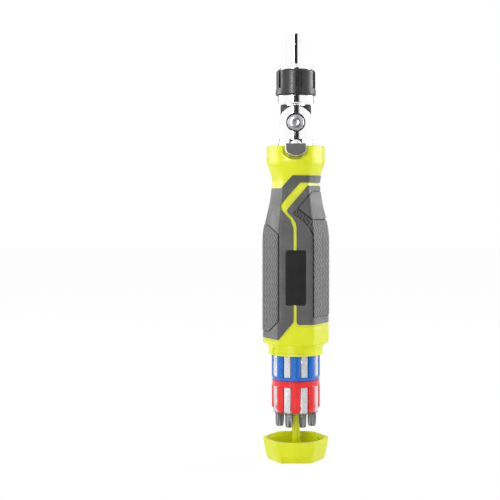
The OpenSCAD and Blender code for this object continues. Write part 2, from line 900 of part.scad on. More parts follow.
module flex_yoke() {
    color("Silver")
        difference() {
            union() {
                intersection() {
                    translate([0, 0, bolster_top_z])
                        cylinder(r = yoke_r, h = pin_rise + ear_r);
                    union() {
                        translate([0, reach, pin_z])
                            rotate([90, 0, 0])
                            cylinder(r = ear_r, h = 2 * reach);
                        translate([-reach, -reach, bolster_top_z])
                            cube([2 * reach, 2 * reach, pin_rise]);
                    }
                }
                rotate_extrude()
                    polygon([[0, bolster_top_z], [flange_r, bolster_top_z],
                        [flange_r, bolster_top_z + flange_h - edge],
                        [flange_r - edge, bolster_top_z + flange_h],
                        [0, bolster_top_z + flange_h]]);
                translate([0, 0, shank_z])
                    cylinder(r = shank_r, h = shank_len);
            }
            translate([-reach, -slot_half, slot_floor_z])
                cube([2 * reach, 2 * slot_half, reach]);
            translate([0, reach, pin_z])
                rotate([90, 0, 0])
                cylinder(r = pin_r, h = 2 * reach);
            for (side = [-1, 1])
                translate([0, side * head_seat, pin_z])
                    rotate([-90 * side, 0, 0])
                    cylinder(r = pin_head_r + head_ring, h = reach);
            slide_pocket();
            translate([0, 0, spring_z])
                cylinder(r = spring_r + lock_wire, h = reach / 2);
            translate([-core_r / 2, 0, cross_pin_z])
                rotate([0, 90, 0])
                cylinder(r = cross_pin_r, h = core_r);
        }
}

module yoke_cross_pin() {
    color("DimGray")
        translate([-core_r / 2, 0, cross_pin_z])
        rotate([0, 90, 0])
        cylinder(r = cross_pin_r, h = core_r);
}

module hinge_pin() {
    dome_r = (pin_head_r * pin_head_r + head_dome * head_dome) / (2 * head_dome);
    dimple_r = pin_head_r / 3;
    color("LightSteelBlue")
        translate([0, 0, pin_z]) {
            translate([0, head_seat, 0])
                rotate([90, 0, 0])
                cylinder(r = pin_r, h = 2 * head_seat);
            for (side = [-1, 1])
                translate([0, side * head_seat, 0])
                    rotate([-90 * side, 0, 0])
                    difference() {
                        intersection() {
                            cylinder(r = pin_head_r, h = head_h);
                            translate([0, 0, head_h - dome_r])
                                sphere(r = dome_r);
                        }
                        translate([0, 0, head_h - edge / 2])
                            cylinder(r1 = dimple_r / 2, r2 = dimple_r, h = edge / 2 + run);
                    }
        }
}

module thrust_washers() {
    color("Gray")
        for (side = [-1, 1])
            translate([0, side * slot_half, pin_z])
                rotate([90 * side, 0, 0])
                ring(washer_r, pin_r, washer_t);
}

// Lock

module lock_slide() {
    color("Silver") {
        front_prism(slide_front_y, slide_front_y + slide_t)
            translate([0, button_z])
            slide_face();
        front_prism(button_back_y, slide_front_y + run)
            translate([0, button_z])
            shield(button_w, button_h, button_arc_h);
        translate([-arm_w / 2, slide_front_y + slide_t - run, arm_z])
            cube([arm_w, arm_end_y - slide_front_y - slide_t + run, arm_h]);
        front_prism(-arm_end_y, arm_end_y)
            polygon([[-tooth_w, arm_z + arm_h - run], [tooth_w, arm_z + arm_h - run],
                [tooth_w / 2, pin_z - tongue_r], [tooth_w / 4, pin_z - tongue_r + lock_depth],
                [-tooth_w / 4, pin_z - tongue_r + lock_depth], [-tooth_w / 2, pin_z - tongue_r]]);
    }
}

// Front view of the slide: straight sides and a round top
module slide_face() {
    face_h = slide_top_z - button_z;
    translate([0, face_h])
        mirror([0, 1])
        shield(slide_w, face_h, slide_w / 4);
}

module lock_button() {
    color("Gray") {
        front_prism(button_front_y, button_back_y)
            translate([0, button_z + rim_w + edge / 2])
            shield(button_w - 2 * rim_w - edge, button_h - rim_w - edge, button_arc_h);
        front_prism(button_front_y + edge / 2, button_back_y)
            translate([0, button_z + rim_w])
            shield(button_w - 2 * rim_w, button_h - rim_w, button_arc_h);
    }
}

module lock_spring() {
    color("SlateGray")
        translate([0, 0, spring_z + lock_wire / 2])
        coil(spring_r, lock_wire / 2, arm_z - spring_z - lock_wire, spring_curls);
}

// Ratchet head

module ratchet_body() {
    color("DarkSlateGray")
        difference() {
            union() {
                translate([0, tongue_t / 2, pin_z])
                    rotate([90, 0, 0])
                    cylinder(r = tongue_r, h = tongue_t);
                translate([-tongue_r, -tongue_t / 2, pin_z])
                    cube([2 * tongue_r, tongue_t, housing_rise]);
                translate([0, 0, housing_z])
                    cylinder(r = body_r - edge, h = housing_h);
                translate([0, 0, housing_z + housing_h])
                    cylinder(r = body_r, h = body_top_z - housing_z - housing_h);
            }
            translate([0, reach, pin_z])
                rotate([90, 0, 0])
                cylinder(r = pin_r + run, h = 2 * reach);
            for (i = [0:180 / lock_step])
                translate([0, 0, pin_z])
                    rotate([0, -90 + i * lock_step, 0])
                    translate([0, 0, -tongue_r])
                    front_prism(-reach, reach)
                    polygon([[-tooth_w * 0.7, -cut], [tooth_w * 0.7, -cut],
                        [tooth_w * 0.42, lock_depth + run], [-tooth_w * 0.42, lock_depth + run]]);
            translate([0, 0, cavity_z])
                cylinder(r = cavity_r, h = reach);
            translate([0, 0, spindle_z - run])
                cylinder(r = spindle_r + run, h = reach);
            for (turn = key_turns)
                translate([0, 0, selector_z - run])
                    ring_slice(body_r + cut, cavity_r - cut, selector_h + 2 * run,
                        turn - key_half_angle - collar_swing - key_play,
                        turn + key_half_angle + collar_swing + key_play);
            translate([0, 0, detent_z])
                rotate([-90, 0, 0])
                translate([0, 0, detent_seat_r])
                cylinder(r = detent_r + run, h = reach);
            for (side = [-1, 1])
                pawl_pin_bore(side);
        }
}

module pawl_pin_bore(side) {
    pawl_place(side)
        translate([0, 0, cavity_z - pin_seat])
        cylinder(r = pawl_pin_r, h = pawl_h);
}

// The pivot of a pawl: 1 is the forward one at the right, -1 the reverse one at the left
module pawl_place(side) {
    translate([side * pawl_pivot_r * cos(pawl_pivot_angle), pawl_pivot_r * sin(pawl_pivot_angle), 0])
        children();
}

module ratchet_housing() {
    color("Silver")
        rotate_extrude()
        polygon([[body_r - edge, housing_z], [tongue_r, housing_z], [housing_r, housing_z + 2 * edge],
            [housing_r, housing_z + housing_h - edge / 4],
            [housing_r - edge / 4, housing_z + housing_h], [body_r - edge, housing_z + housing_h]]);
}

module direction_collar() {
    band_h = collar_h * 0.29;
    color("DimGray")
        difference() {
            rotate_extrude()
                polygon([[body_r + run, collar_z], [collar_band_r - edge / 2, collar_z],
                    [collar_band_r, collar_z + edge], [collar_band_r, collar_z + band_h * 0.6],
                    [collar_r, collar_z + band_h],
                    [collar_r, collar_top_z - edge / 2], [collar_r - edge, collar_top_z],
                    [body_r + run, collar_top_z]]);
            for (i = [0:channel_count - 1])
                translate([0, 0, collar_z + band_h])
                    ring_slice(collar_r + cut, collar_r - channel_depth, collar_h,
                        channel_turn + i * 360 / channel_count - channel_angle / 2,
                        channel_turn + i * 360 / channel_count + channel_angle / 2);
            for (turn = key_turns)
                translate([0, 0, selector_z - 2 * run])
                    ring_slice(key_r + run, body_r, selector_h + 4 * run,
                        turn - key_half_angle, turn + key_half_angle);
            translate([0, 0, detent_z - detent_r])
                ring(body_r + detent_out + 3 * run, body_r, 2 * detent_r);
            for (turn = [-collar_swing, 0, collar_swing])
                rotate([0, 0, turn])
                    translate([0, 0, detent_z])
                    rotate([-90, 0, 0])
                    cylinder(r = detent_r * 0.8, h = body_r + 2 * detent_out);
        }
}

module nose_ring() {
    color("Silver")
        rotate_extrude()
        polygon([[spindle_r + 2 * run, bushing_top_z], [cavity_r, bushing_top_z], [cavity_r, nose_z],
            [nose_r, nose_z], [nose_r, nose_z + nose_h * 0.25], [nose_r - edge, nose_z + nose_h * 0.75],
            [nose_r - 3 * edge, nose_z + nose_h], [spindle_r + 2 * run, nose_z + nose_h]]);
}

// Spiral cam slot that moves the post of a pawl in and out as the ring turns
module cam_slot(side) {
    slot_half_w = pawl_post_r + 3 * run;
    lift = -pawl_pivot_r * sin(pawl_pivot_angle) * sin(pawl_swing);
    angles = [for (i = [-6:6]) i * (collar_swing + 3 * key_play) / 6];
    function slot_r(a) = pawl_post_x + lift * a / collar_swing;
    outer = [for (a = angles) (slot_r(a) + slot_half_w) * [side * cos(a), sin(a)]];
    inner = [for (i = [12:-1:0]) (slot_r(angles[i]) - slot_half_w) * [side * cos(angles[i]), sin(angles[i])]];
    translate([0, 0, selector_z - cut])
        linear_extrude(selector_h + 2 * cut)
        polygon(concat(outer, inner));
}

module selector_ring() {
    inner_r = gear_r + ring_gap;
    color("Sienna")
        difference() {
            union() {
                translate([0, 0, selector_z])
                    ring(cavity_r - run, inner_r, selector_h);
                for (turn = key_turns)
                    translate([0, 0, selector_z])
                        ring_slice(key_r, cavity_r - edge, selector_h,
                            turn - key_half_angle, turn + key_half_angle);
            }
            cam_slot(1);
            cam_slot(-1);
        }
}

// A pawl seen from above, as shares of the radius of the gear, with its tip half way into the teeth
pawl_outline_shares = [[0.925, -0.01], [0.925, 0.01], [1.1, 0.075], [1.11, 0.19], [1.36, 0.19],
    [1.36, -0.23], [1.27, -0.6], [1.1, -0.88], [0.86, -0.8], [1.06, -0.5], [1.1, -0.075]];

module pawl(side) {
    difference() {
        union() {
            translate([0, 0, pawl_z])
                linear_extrude(pawl_h)
                polygon([for (p = pawl_outline_shares) gear_r * [side * p[0], p[1]]]);
            pawl_place(side)
                translate([0, 0, pawl_z])
                cylinder(r = pawl_eye_r, h = pawl_h, $fn = 48);
            translate([side * pawl_post_x, 0, pawl_z])
                cylinder(r = pawl_post_r, h = selector_z - pawl_z + selector_h / 2, $fn = 32);
        }
        pawl_place(side)
            translate([0, 0, pawl_z - cut])
            cylinder(r = pawl_pin_r + run, h = pawl_h + 2 * cut, $fn = 48);
    }
}

module forward_pawl() {
    color("SteelBlue")
        pawl(1);
}

module reverse_pawl() {
    color("SteelBlue")
        pawl(-1);
}

module pawl_pins() {
    color("Gray")
        for (side = [-1, 1])
            pawl_place(side)
                translate([0, 0, cavity_z - pin_seat])
                cylinder(r = pawl_pin_r, h = pawl_top_z - cavity_z + pin_seat, $fn = 48);
}

module pawl_spring() {
    color("SlateGray")
        translate([0, 0, pawl_top_z + run])
        ring_slice(cavity_r, spring_ring_r, spring_ring_h, -60, 240);
}

module detent_ball() {
    color("Silver")
        translate([0, body_r + detent_out - detent_r, detent_z])
        sphere(r = detent_r, $fn = 48);
}

module detent_spring() {
    length = body_r + detent_out - 2 * detent_r - detent_seat_r - detent_wire;
    color("SlateGray")
        translate([0, detent_seat_r + detent_wire / 2, detent_z])
        rotate([-90, 0, 0])
        coil(detent_r * 0.7, detent_wire / 2, length, 3);
}

module spindle_bushing() {
    color("Peru")
        translate([0, 0, bushing_z])
        ring(cavity_r, spindle_r + run, bushing_top_z - bushing_z);
}

// Bit holder and spindle

module bit_holder() {
    socket_corner_r = (bit_flats / 2 + socket_gap) / cos(30);
    color("Silver")
        difference() {
            union() {
                rotate_extrude()
                    polygon([[0, holder_z], [holder_r + edge, holder_z],
                        [holder_r + edge / 2, holder_z + edge / 2], [holder_r, holder_z + edge],
                        [holder_r, holder_top_z - edge / 2],
                        [holder_r - edge / 2, holder_top_z], [0, holder_top_z]]);
                translate([0, 0, spindle_z])
                    cylinder(r = spindle_r, h = holder_z - spindle_z);
            }
            translate([0, 0, holder_top_z - socket_depth])
                rotate([0, 0, 30])
                cylinder(r = socket_corner_r, h = socket_depth + cut, $fn = 6);
            translate([0, 0, holder_top_z - edge / 2])
                cylinder(r1 = socket_corner_r - edge / 4, r2 = socket_corner_r + edge / 2, h = edge);
            translate([0, 0, holder_top_z - socket_depth - magnet_h])
                cylinder(r = magnet_r, h = socket_depth);
            translate([0, 0, holder_top_z - bit_ring_drop])
                cylinder(r = bit_ring_r, h = bit_ring_h);
            translate([0, 0, snap_z])
                ring(spindle_r + cut, snap_r, snap_h);
        }
}

module socket_magnet() {
    color("DarkGray")
        translate([0, 0, holder_top_z - socket_depth - magnet_h])
        cylinder(r = magnet_r, h = magnet_h);
}

module bit_retaining_ring() {
    color("SlateGray")
        translate([0, 0, holder_top_z - bit_ring_drop])
        ring_slice(bit_ring_r, bit_ring_r - bit_ring_t, bit_ring_h, 20, 340);
}

module ratchet_gear() {
    gap_half = PI * gear_r / tooth_count * 0.8;
    root_half = gap_half / 5;
    color("LightSteelBlue")
        translate([0, 0, gear_z])
        difference() {
            cylinder(r = gear_r, h = gear_h);
            translate([0, 0, -cut])
                cylinder(r = spindle_r, h = gear_h + 2 * cut);
            for (i = [0:tooth_count - 1])
                rotate([0, 0, i * 360 / tooth_count])
                    translate([0, 0, -cut])
                    linear_extrude(gear_h + 2 * cut)
                    polygon([[gear_r - tooth_depth, -root_half], [gear_r + root_half, -gap_half - root_half],
                        [gear_r + root_half, gap_half + root_half], [gear_r - tooth_depth, root_half]]);
        }
}

module spindle_snap_ring() {
    color("SlateGray")
        translate([0, 0, snap_z])
        ring_slice(gear_r, snap_r, snap_h, 20, 340);
}

end_cap();
center_post();
post_retainer();
lower_bit_carrier();
upper_bit_carrier();
handle_core();
grip_left();
grip_right();
badge_plate();
flex_yoke();
yoke_cross_pin();
hinge_pin();
thrust_washers();
lock_slide();
lock_button();
lock_spring();
ratchet_body();
ratchet_housing();
direction_collar();
nose_ring();
selector_ring();
forward_pawl();
reverse_pawl();
pawl_pins();
pawl_spring();
detent_ball();
detent_spring();
spindle_bushing();
bit_holder();
ratchet_gear();
spindle_snap_ring();
socket_magnet();
bit_retaining_ring();
for (i = [1:bit_count])
    lower_bit(i);
for (i = [1:bit_count])
    upper_bit(i);
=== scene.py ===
# %% [markdown]
# This lesson dresses a ratcheting screwdriver with a folding head. Its bit cartridge stands drawn out of
# the handle. The CAD model comes first: its pieces keep their places, and each new piece is built to them.

# %% Load the CAD frame
import json
import math
import bpy
import bmesh
from mathutils import Matrix, Vector


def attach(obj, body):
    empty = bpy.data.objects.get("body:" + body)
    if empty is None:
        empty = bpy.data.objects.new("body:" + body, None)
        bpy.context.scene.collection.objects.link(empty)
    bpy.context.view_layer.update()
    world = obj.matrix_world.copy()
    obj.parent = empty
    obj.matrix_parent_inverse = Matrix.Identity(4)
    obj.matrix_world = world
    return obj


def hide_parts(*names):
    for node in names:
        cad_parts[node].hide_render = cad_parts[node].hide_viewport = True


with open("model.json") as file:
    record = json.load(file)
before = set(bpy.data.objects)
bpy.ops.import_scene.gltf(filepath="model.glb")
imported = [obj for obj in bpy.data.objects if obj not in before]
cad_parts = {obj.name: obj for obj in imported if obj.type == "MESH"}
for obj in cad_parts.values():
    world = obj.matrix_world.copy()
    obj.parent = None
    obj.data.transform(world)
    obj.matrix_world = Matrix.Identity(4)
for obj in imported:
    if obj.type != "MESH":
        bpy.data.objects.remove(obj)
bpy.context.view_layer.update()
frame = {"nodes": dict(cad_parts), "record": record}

nodes = frame["nodes"]

# %% [markdown]
# The tool stands on a pale floor in front of a white room. The camera looks level at it, from a little
# over half its height, so upright edges stay parallel. A long lens at 0.69 m keeps the outline calm.
# The shift of the lens puts the tool right of the middle without turning the camera.

# %% Camera
lens_data = bpy.data.cameras.new("camera")
lens_data.sensor_width = 36
lens_data.lens = 82.8
lens_data.shift_x = -0.0916
lens_data.shift_y = -0.1
camera = bpy.data.objects.new("camera", lens_data)
camera.location = (0, -0.69, 0.155)
camera.rotation_euler = (math.radians(90), 0, 0)
bpy.context.scene.collection.objects.link(camera)
bpy.context.scene.camera = camera
bpy.context.scene.view_settings.view_transform = "Standard"
print("camera at", tuple(round(v, 3) for v in camera.location))

# %% [markdown]
# Every finish below is a small network of nodes. Two helpers keep them readable. A Wire stands for one
# output socket, so that sums and products of wires can be written as plain Python. A Finish holds one
# material, and its node method adds any other node with its settings and inputs.

# %% Wire and Finish
class Wire:
    """One output socket, which can be added, subtracted and multiplied like a number."""

    def __init__(self, finish, socket):
        self.finish = finish
        self.socket = socket

    def math(self, operation, first, second=0.0):
        return self.finish.node("ShaderNodeMath", {"operation": operation}, [first, second])

    def __add__(self, other):
        return self.math("ADD", self, other)

    def __radd__(self, other):
        return self.math("ADD", other, self)

    def __sub__(self, other):
        return self.math("SUBTRACT", self, other)

    def __rsub__(self, other):
        return self.math("SUBTRACT", other, self)

    def __mul__(self, other):
        return self.math("MULTIPLY", self, other)

    def __rmul__(self, other):
        return self.math("MULTIPLY", other, self)


def paint(red, green, blue):
    """A colour for the shader from the three numbers that a screen shows, 0 to 255."""
    shares = [v / 255 for v in (red, green, blue)]
    linear = [v / 12.92 if v <= 0.04045 else ((v + 0.055) / 1.055) ** 2.4 for v in shares]
    return (*linear, 1.0)


class Finish:
    """A material around one Principled shader. Its place is the object coordinate, in metres."""

    def __init__(self, name, **sockets):
        self.material = bpy.data.materials.new(name)
        self.material.use_nodes = True
        self.tree = self.material.node_tree
        self.shader = self.tree.nodes["Principled BSDF"]
        for key, value in sockets.items():
            self.shader.inputs[key.replace("_", " ")].default_value = value
        self.place = self.node("ShaderNodeTexCoord", {}, [], "Object")

    def node(self, kind, settings, values, output=0):
        """Any node: its settings, what goes into its inputs, and the output that is wanted."""
        made = self.tree.nodes.new(kind)
        for key, value in settings.items():
            setattr(made, key, value)
        pairs = values.items() if isinstance(values, dict) else enumerate(values)
        for key, value in pairs:
            if isinstance(value, Wire):
                self.tree.links.new(value.socket, made.inputs[key])
            else:
                made.inputs[key].default_value = value
        return Wire(self, made.outputs[output])

    def feed(self, socket, wire):
        self.tree.links.new(wire.socket, self.shader.inputs[socket])

    def noise(self, scale, detail=2.0, stretch=(1, 1, 1)):
        spot = self.node("ShaderNodeMapping", {}, {"Vector": self.place, "Scale": stretch})
        return self.node("ShaderNodeTexNoise", {}, {"Vector": spot, "Scale": scale, "Detail": detail},
                         "Fac")

    def ramp(self, wire, low, high):
        """0 where the wire is below low, 1 where it is above high, and smooth between them."""
        return self.node("ShaderNodeMapRange", {"interpolation_type": "SMOOTHSTEP"},
                         {"Value": wire, "From Min": low, "From Max": high})

    def blend(self, share, first, second):
        return self.node("ShaderNodeMix", {"data_type": "RGBA"}, {0: share, 6: first, 7: second}, 2)

    def bump(self, height, distance, strength):
        lift = self.node("ShaderNodeBump", {},
                         {"Height": height, "Distance": distance, "Strength": strength})
        self.feed("Normal", lift)


print("helpers ready")

# %% [markdown]
# The room is white to the camera and in reflections, and dimmer as a lamp, which is what Light Path sorts
# out. The floor is a pale sheet that glows to the camera and in reflections alone, so it comes out near
# white, keeps a trace of the tool's soft shadow, and lights the tool from below as real paper does.

# %% White room and floor
room_light = 0.44
floor_glow = 0.97
plain_white = (1, 1, 1, 1)
world = bpy.data.worlds.new("white_room")
bpy.context.scene.world = world
world.use_nodes = True
tree = world.node_tree
tree.nodes.clear()
path = tree.nodes.new("ShaderNodeLightPath")
seen, seen_through = (tree.nodes.new("ShaderNodeMath") for _ in range(2))
seen.operation = seen_through.operation = "MAXIMUM"
tree.links.new(path.outputs["Is Camera Ray"], seen.inputs[0])
tree.links.new(path.outputs["Is Glossy Ray"], seen.inputs[1])
tree.links.new(seen.outputs[0], seen_through.inputs[0])
tree.links.new(path.outputs["Is Transmission Ray"], seen_through.inputs[1])
dim, white = (tree.nodes.new("ShaderNodeBackground") for _ in range(2))
for background, strength in ((dim, room_light), (white, 1.0)):
    background.inputs["Color"].default_value = plain_white
    background.inputs["Strength"].default_value = strength
either = tree.nodes.new("ShaderNodeMixShader")
tree.links.new(seen_through.outputs[0], either.inputs[0])
tree.links.new(dim.outputs[0], either.inputs[1])
tree.links.new(white.outputs[0], either.inputs[2])
room_out = tree.nodes.new("ShaderNodeOutputWorld")
tree.links.new(either.outputs[0], room_out.inputs[0])

bpy.ops.object.select_all(action="DESELECT")
bpy.ops.mesh.primitive_plane_add(size=6, location=(0, 0, -0.0002))
floor = bpy.context.object
floor.name = "floor"
paper = Finish("pale_floor", Base_Color=(0.9, 0.9, 0.9, 1), Roughness=0.9)
glow = paper.tree.nodes.new("ShaderNodeEmission")
mix = paper.tree.nodes.new("ShaderNodeMixShader")
direct = [paper.node("ShaderNodeLightPath", {}, [], ray) for ray in ("Is Camera Ray", "Is Glossy Ray")]
share_of_glow = direct[0].math("MAXIMUM", *direct) * floor_glow
paper.tree.links.new(share_of_glow.socket, mix.inputs[0])
paper.tree.links.new(paper.shader.outputs[0], mix.inputs[1])
paper.tree.links.new(glow.outputs[0], mix.inputs[2])
paper.tree.links.new(mix.outputs[0], paper.tree.nodes["Material Output"].inputs[0])
floor.data.materials.append(paper.material)
print("floor and room ready")

# %% [markdown]
# Broad soft lamps light the tool: two in front, high and low, and one at each side that brightens the edges
# of the handle. Dark cards show only in reflections. The large one behind the camera fades to white at its
# sides, and draws the soft dark stripe down the middle of polished round steel. Two at the back draw its
# thin rims. A narrow upright lamp at the left gives round glossy plastic one clear streak.

# %% Lamps and cards
def soft_lamp(name, place, target, size, power, mirrored=True):
    """A square lamp, in metres and watts. One that isn't mirrored stays out of reflections."""
    lamp = bpy.data.lights.new(name, "AREA")
    lamp.size = size
    lamp.energy = power
    held = bpy.data.objects.new(name, lamp)
    held.location = place
    held.rotation_euler = (Vector(target) - Vector(place)).to_track_quat("-Z", "Y").to_euler()
    held.visible_glossy = mirrored
    bpy.context.scene.collection.objects.link(held)
    return held


soft_lamp("high_lamp", (-0.35, -0.9, 0.75), (0, 0, 0.12), 0.7, 1.8)
soft_lamp("low_lamp", (-0.2, -1.1, 0.14), (0, 0, 0.09), 0.6, 7.5, mirrored=False)
soft_lamp("left_lamp", (-0.9, 0.4, 0.36), (0, 0, 0.11), 0.72, 6.8)
soft_lamp("right_lamp", (0.9, 0.36, 0.36), (0, 0, 0.11), 0.72, 8.8)
streak = soft_lamp("streak_lamp", (-0.42, -1.0, 0.2), (0.0045, 0, 0.2), 0.16, 9)
streak.data.shape = "RECTANGLE"
streak.data.size_y = 0.9
streak.visible_diffuse = False

matt_black = {"Base_Color": (0.01, 0.01, 0.01, 1), "Roughness": 1.0}
black_paper = Finish("black_paper", **matt_black)
fading_paper = Finish("fading_paper", Emission_Strength=1.0, **matt_black)
across = fading_paper.node("ShaderNodeSeparateXYZ", {}, [fading_paper.place])
edge_share = fading_paper.ramp(across.math("ABSOLUTE", across), 0.38, 0.66)
fading_paper.feed("Emission Color", fading_paper.blend(edge_share, (0, 0, 0, 1), plain_white))
grey_paper = Finish("grey_paper", Emission_Color=(0.3, 0.3, 0.3, 1), Emission_Strength=1.0, **matt_black)


def reflected_card(name, middle, width, height, turn=0, tilt=90, paper=black_paper):
    """A card that only reflections see. The turn is about Z, the tilt stands it up."""
    bpy.ops.object.select_all(action="DESELECT")
    bpy.ops.mesh.primitive_plane_add(size=1, location=middle,
                                     rotation=(math.radians(tilt), 0, math.radians(turn)))
    card = bpy.context.object
    card.name = name
    card.scale = (width, height, 1)
    bpy.ops.object.transform_apply(location=True, rotation=True, scale=True)
    card.visible_camera = card.visible_diffuse = card.visible_shadow = False
    card.data.materials.append(paper.material)


reflected_card("fading_card", (0.01, -1.3, 0.8), 1.4, 1.6, paper=fading_paper)
reflected_card("floor_card", (0.01, -0.8, 0.001), 1.0, 1.0, tilt=0)
reflected_card("left_edge_card", (-0.575, 0.556, 0.3), 0.3, 1.2, 46, paper=grey_paper)
reflected_card("right_edge_card", (0.575, 0.556, 0.3), 0.3, 1.2, -46, paper=grey_paper)
print("lamps ready")

# %% [markdown]
# Moulded plastic is coloured all through. The steel mould leaves a faint grain in its surface, and handling
# leaves it a little duller in places, so both the colour and the gloss wander slightly.

# %% Moulded plastics
def moulded(name, colour, deeper, gloss=0.34, coat=0.25, index=1.5, polish=0.18, wear=0.16):
    """Gloss is the roughness of the plastic, polish that of the coat, and wear what handling adds."""
    finish = Finish(name, Coat_Roughness=polish, Coat_Weight=coat, IOR=index)
    drift = finish.noise(70, 3.0)
    finish.feed("Base Color", finish.blend(finish.ramp(drift, 0.35, 0.7), colour, deeper))
    rubbed = finish.ramp(finish.noise(260, 4.0), 0.45, 0.75)
    finish.feed("Roughness", gloss + rubbed * wear)
    finish.bump(finish.noise(2600, 3.0) + finish.noise(500, 2.0) * 0.5, 0.00004, 0.4)
    return finish.material


yellow = moulded("yellow_moulding", paint(208, 214, 4), paint(202, 208, 2), coat=0.12, index=1.42)
shiny = {"gloss": 0.24, "coat": 0.6, "index": 1.36, "polish": 0.06}
blue = moulded("blue_moulding", paint(0, 98, 192), paint(0, 90, 182), **shiny)
red = moulded("red_moulding", paint(224, 6, 16), paint(214, 4, 12), **shiny)
grey = moulded("grey_button_moulding", paint(84, 84, 86), paint(78, 78, 80), gloss=0.36)
print("plastics ready")

# %% [markdown]
# The soft grip is rubber moulded over the plastic. It is matt, with a fine open grain, and where hands rub
# it the grain is polished a little paler.

# %% Grip rubber
soft_touch = {"IOR": 1.55, "Sheen_Weight": 0.7, "Sheen_Roughness": 0.35}


def rubber(name, colour, paler):
    finish = Finish(name, **soft_touch)
    rubbed = finish.ramp(finish.noise(120, 4.0), 0.4, 0.75)
    finish.feed("Base Color", finish.blend(rubbed, colour, paler))
    finish.feed("Roughness", 0.6 - rubbed * 0.12)
    finish.bump(finish.noise(3200, 3.0), 0.00008, 0.6)
    return finish.material


grip = rubber("grip_rubber_plain", paint(66, 66, 67), paint(74, 74, 75))
# The near-black groove rubber is painted shade, laid on the groove floors below.
groove_shade_rubber = rubber("groove_painted_shade", paint(9, 9, 10), paint(12, 12, 13))
print("rubber ready")

# %% [markdown]
# The side pads carry fine upright ribs that run in a zigzag. The way round is the angle about the axis times
# the radius. The height of the ribs is a sine of the way round, pushed from side to side by a triangle wave
# of the way up. It feeds a bump, and the grooves are painted near black as painted shade. All lengths are in
# metres.

# %% Ribbed rubber
def ribbed_rubber(name, groove, rib, radius=0.0196, pitch=0.0021, leg=0.0018, swing=0.6):
    """Pitch is from rib to rib, leg the height of half a zigzag, and swing its width in pitches."""
    finish = Finish(name, **soft_touch)
    side, depth, height = (finish.node("ShaderNodeSeparateXYZ", {}, [finish.place], i) for i in range(3))
    way_round = side.math("ARCTAN2", side, depth) * radius
    zigzag = height.math("PINGPONG", height, leg)
    wave = (way_round * (1 / pitch) + zigzag * (swing / leg)) * (2 * math.pi)
    rise = wave.math("SINE", wave) * 0.5 + 0.5
    worn = finish.noise(160, 4.0)
    # The groove colour is painted shade between the ribs; the rib colour is the rubber's own.
    finish.feed("Base Color", finish.blend(finish.ramp(rise + worn * 0.3, 0.25, 0.95), groove, rib))
    finish.feed("Roughness", 0.66 - worn * 0.14)
    finish.bump(rise, 0.00025, 0.8)
    return finish.material


# The first colour, near black, is painted shade in the grooves between the ribs.
ribbed = ribbed_rubber("grip_rubber_ribbed", paint(8, 8, 9), paint(64, 64, 65))
print("ribs ready")

# %% [markdown]
# Bright steel is shown by what it mirrors. Fine turning lines run round it and widen the highlights, so a
# noise squeezed along the height feeds both the roughness and a very low bump.

# %% Metals
def metal(name, colour, worn, rough, lathe, depth=0.000006):
    """Rough is the least roughness, lathe what the turning lines add, and depth how deep they are."""
    finish = Finish(name, Metallic=1.0)
    lines = finish.noise(220, 4.0, (1, 1, 14))
    wear = finish.ramp(finish.noise(180, 5.0), 0.5, 0.78)
    finish.feed("Base Color", finish.blend(wear, colour, worn))
    finish.feed("Roughness", rough + lines * lathe + wear * 0.06)
    finish.bump(lines, depth, 0.3)
    return finish.material


plating = (paint(250, 250, 252), paint(243, 243, 246))
chrome = metal("polished_chrome", *plating, 0.05, 0.02, depth=0.000001)
satin_chrome = metal("satin_chrome", *plating, 0.1, 0.03, depth=0.000001)
dark_steel = metal("blackened_steel", paint(92, 90, 90), paint(112, 110, 108), 0.32, 0.12)
plain_steel = metal("ground_steel", paint(186, 187, 190), paint(170, 171, 176), 0.26, 0.14)
slide_steel = metal("brushed_slide_steel", paint(246, 246, 248), paint(236, 236, 240), 0.34, 0.06)
pin_steel = metal("satin_pin_steel", paint(188, 188, 191), paint(172, 172, 176), 0.27, 0.06)
bronze = metal("sintered_bronze", paint(196, 146, 92), paint(170, 124, 78), 0.36, 0.12)
print("metals ready")

# %% [markdown]
# An insert bit is hardened steel. Its hexagonal shank is shot-blasted and plated pale, which leaves fine
# specks. The working tip, at its low end here, is left dark and polished along its length.

# %% Bit steel
def bit_finish(name, pale, speck, dark, tip_z):
    """Pale and specked above the height tip_z, in metres, and dark and streaked below it."""
    finish = Finish(name, Metallic=0.6)
    height = finish.node("ShaderNodeSeparateXYZ", {}, [finish.place], 2)
    shank = finish.ramp(height, tip_z - 0.0006, tip_z + 0.0006)
    specks = finish.ramp(finish.noise(1500, 3.0), 0.52, 0.68)
    streaks = finish.ramp(finish.noise(900, 3.0, (1, 1, 0.06)), 0.4, 0.62)
    blasted = finish.blend(specks, pale, speck)
    polished = finish.blend(streaks, dark, speck)
    finish.feed("Base Color", finish.blend(shank, polished, blasted))
    finish.feed("Roughness", 0.16 + shank * 0.16 + specks * 0.06)
    finish.bump(specks, 0.00001, 0.5)
    return finish.material


bit_steel = bit_finish("bit_steel_finish", paint(206, 207, 208), paint(160, 161, 162), paint(92, 92, 95),
                       tip_z=0.0295)
print("bit steel ready")

# %% [markdown]
# The collar is black with a satin gloss and the badge plate is smooth black plastic. Both are dark, so their
# gloss does the talking, and the recipe for moulded plastic serves for both.

# %% Black finishes
collar_black = moulded("black_oxide", paint(20, 20, 21), paint(25, 25, 26), gloss=0.36, coat=0.2)
badge_black = moulded("black_plate", paint(14, 14, 15), paint(16, 16, 17), gloss=0.3, wear=0.04)
print("blacks ready")
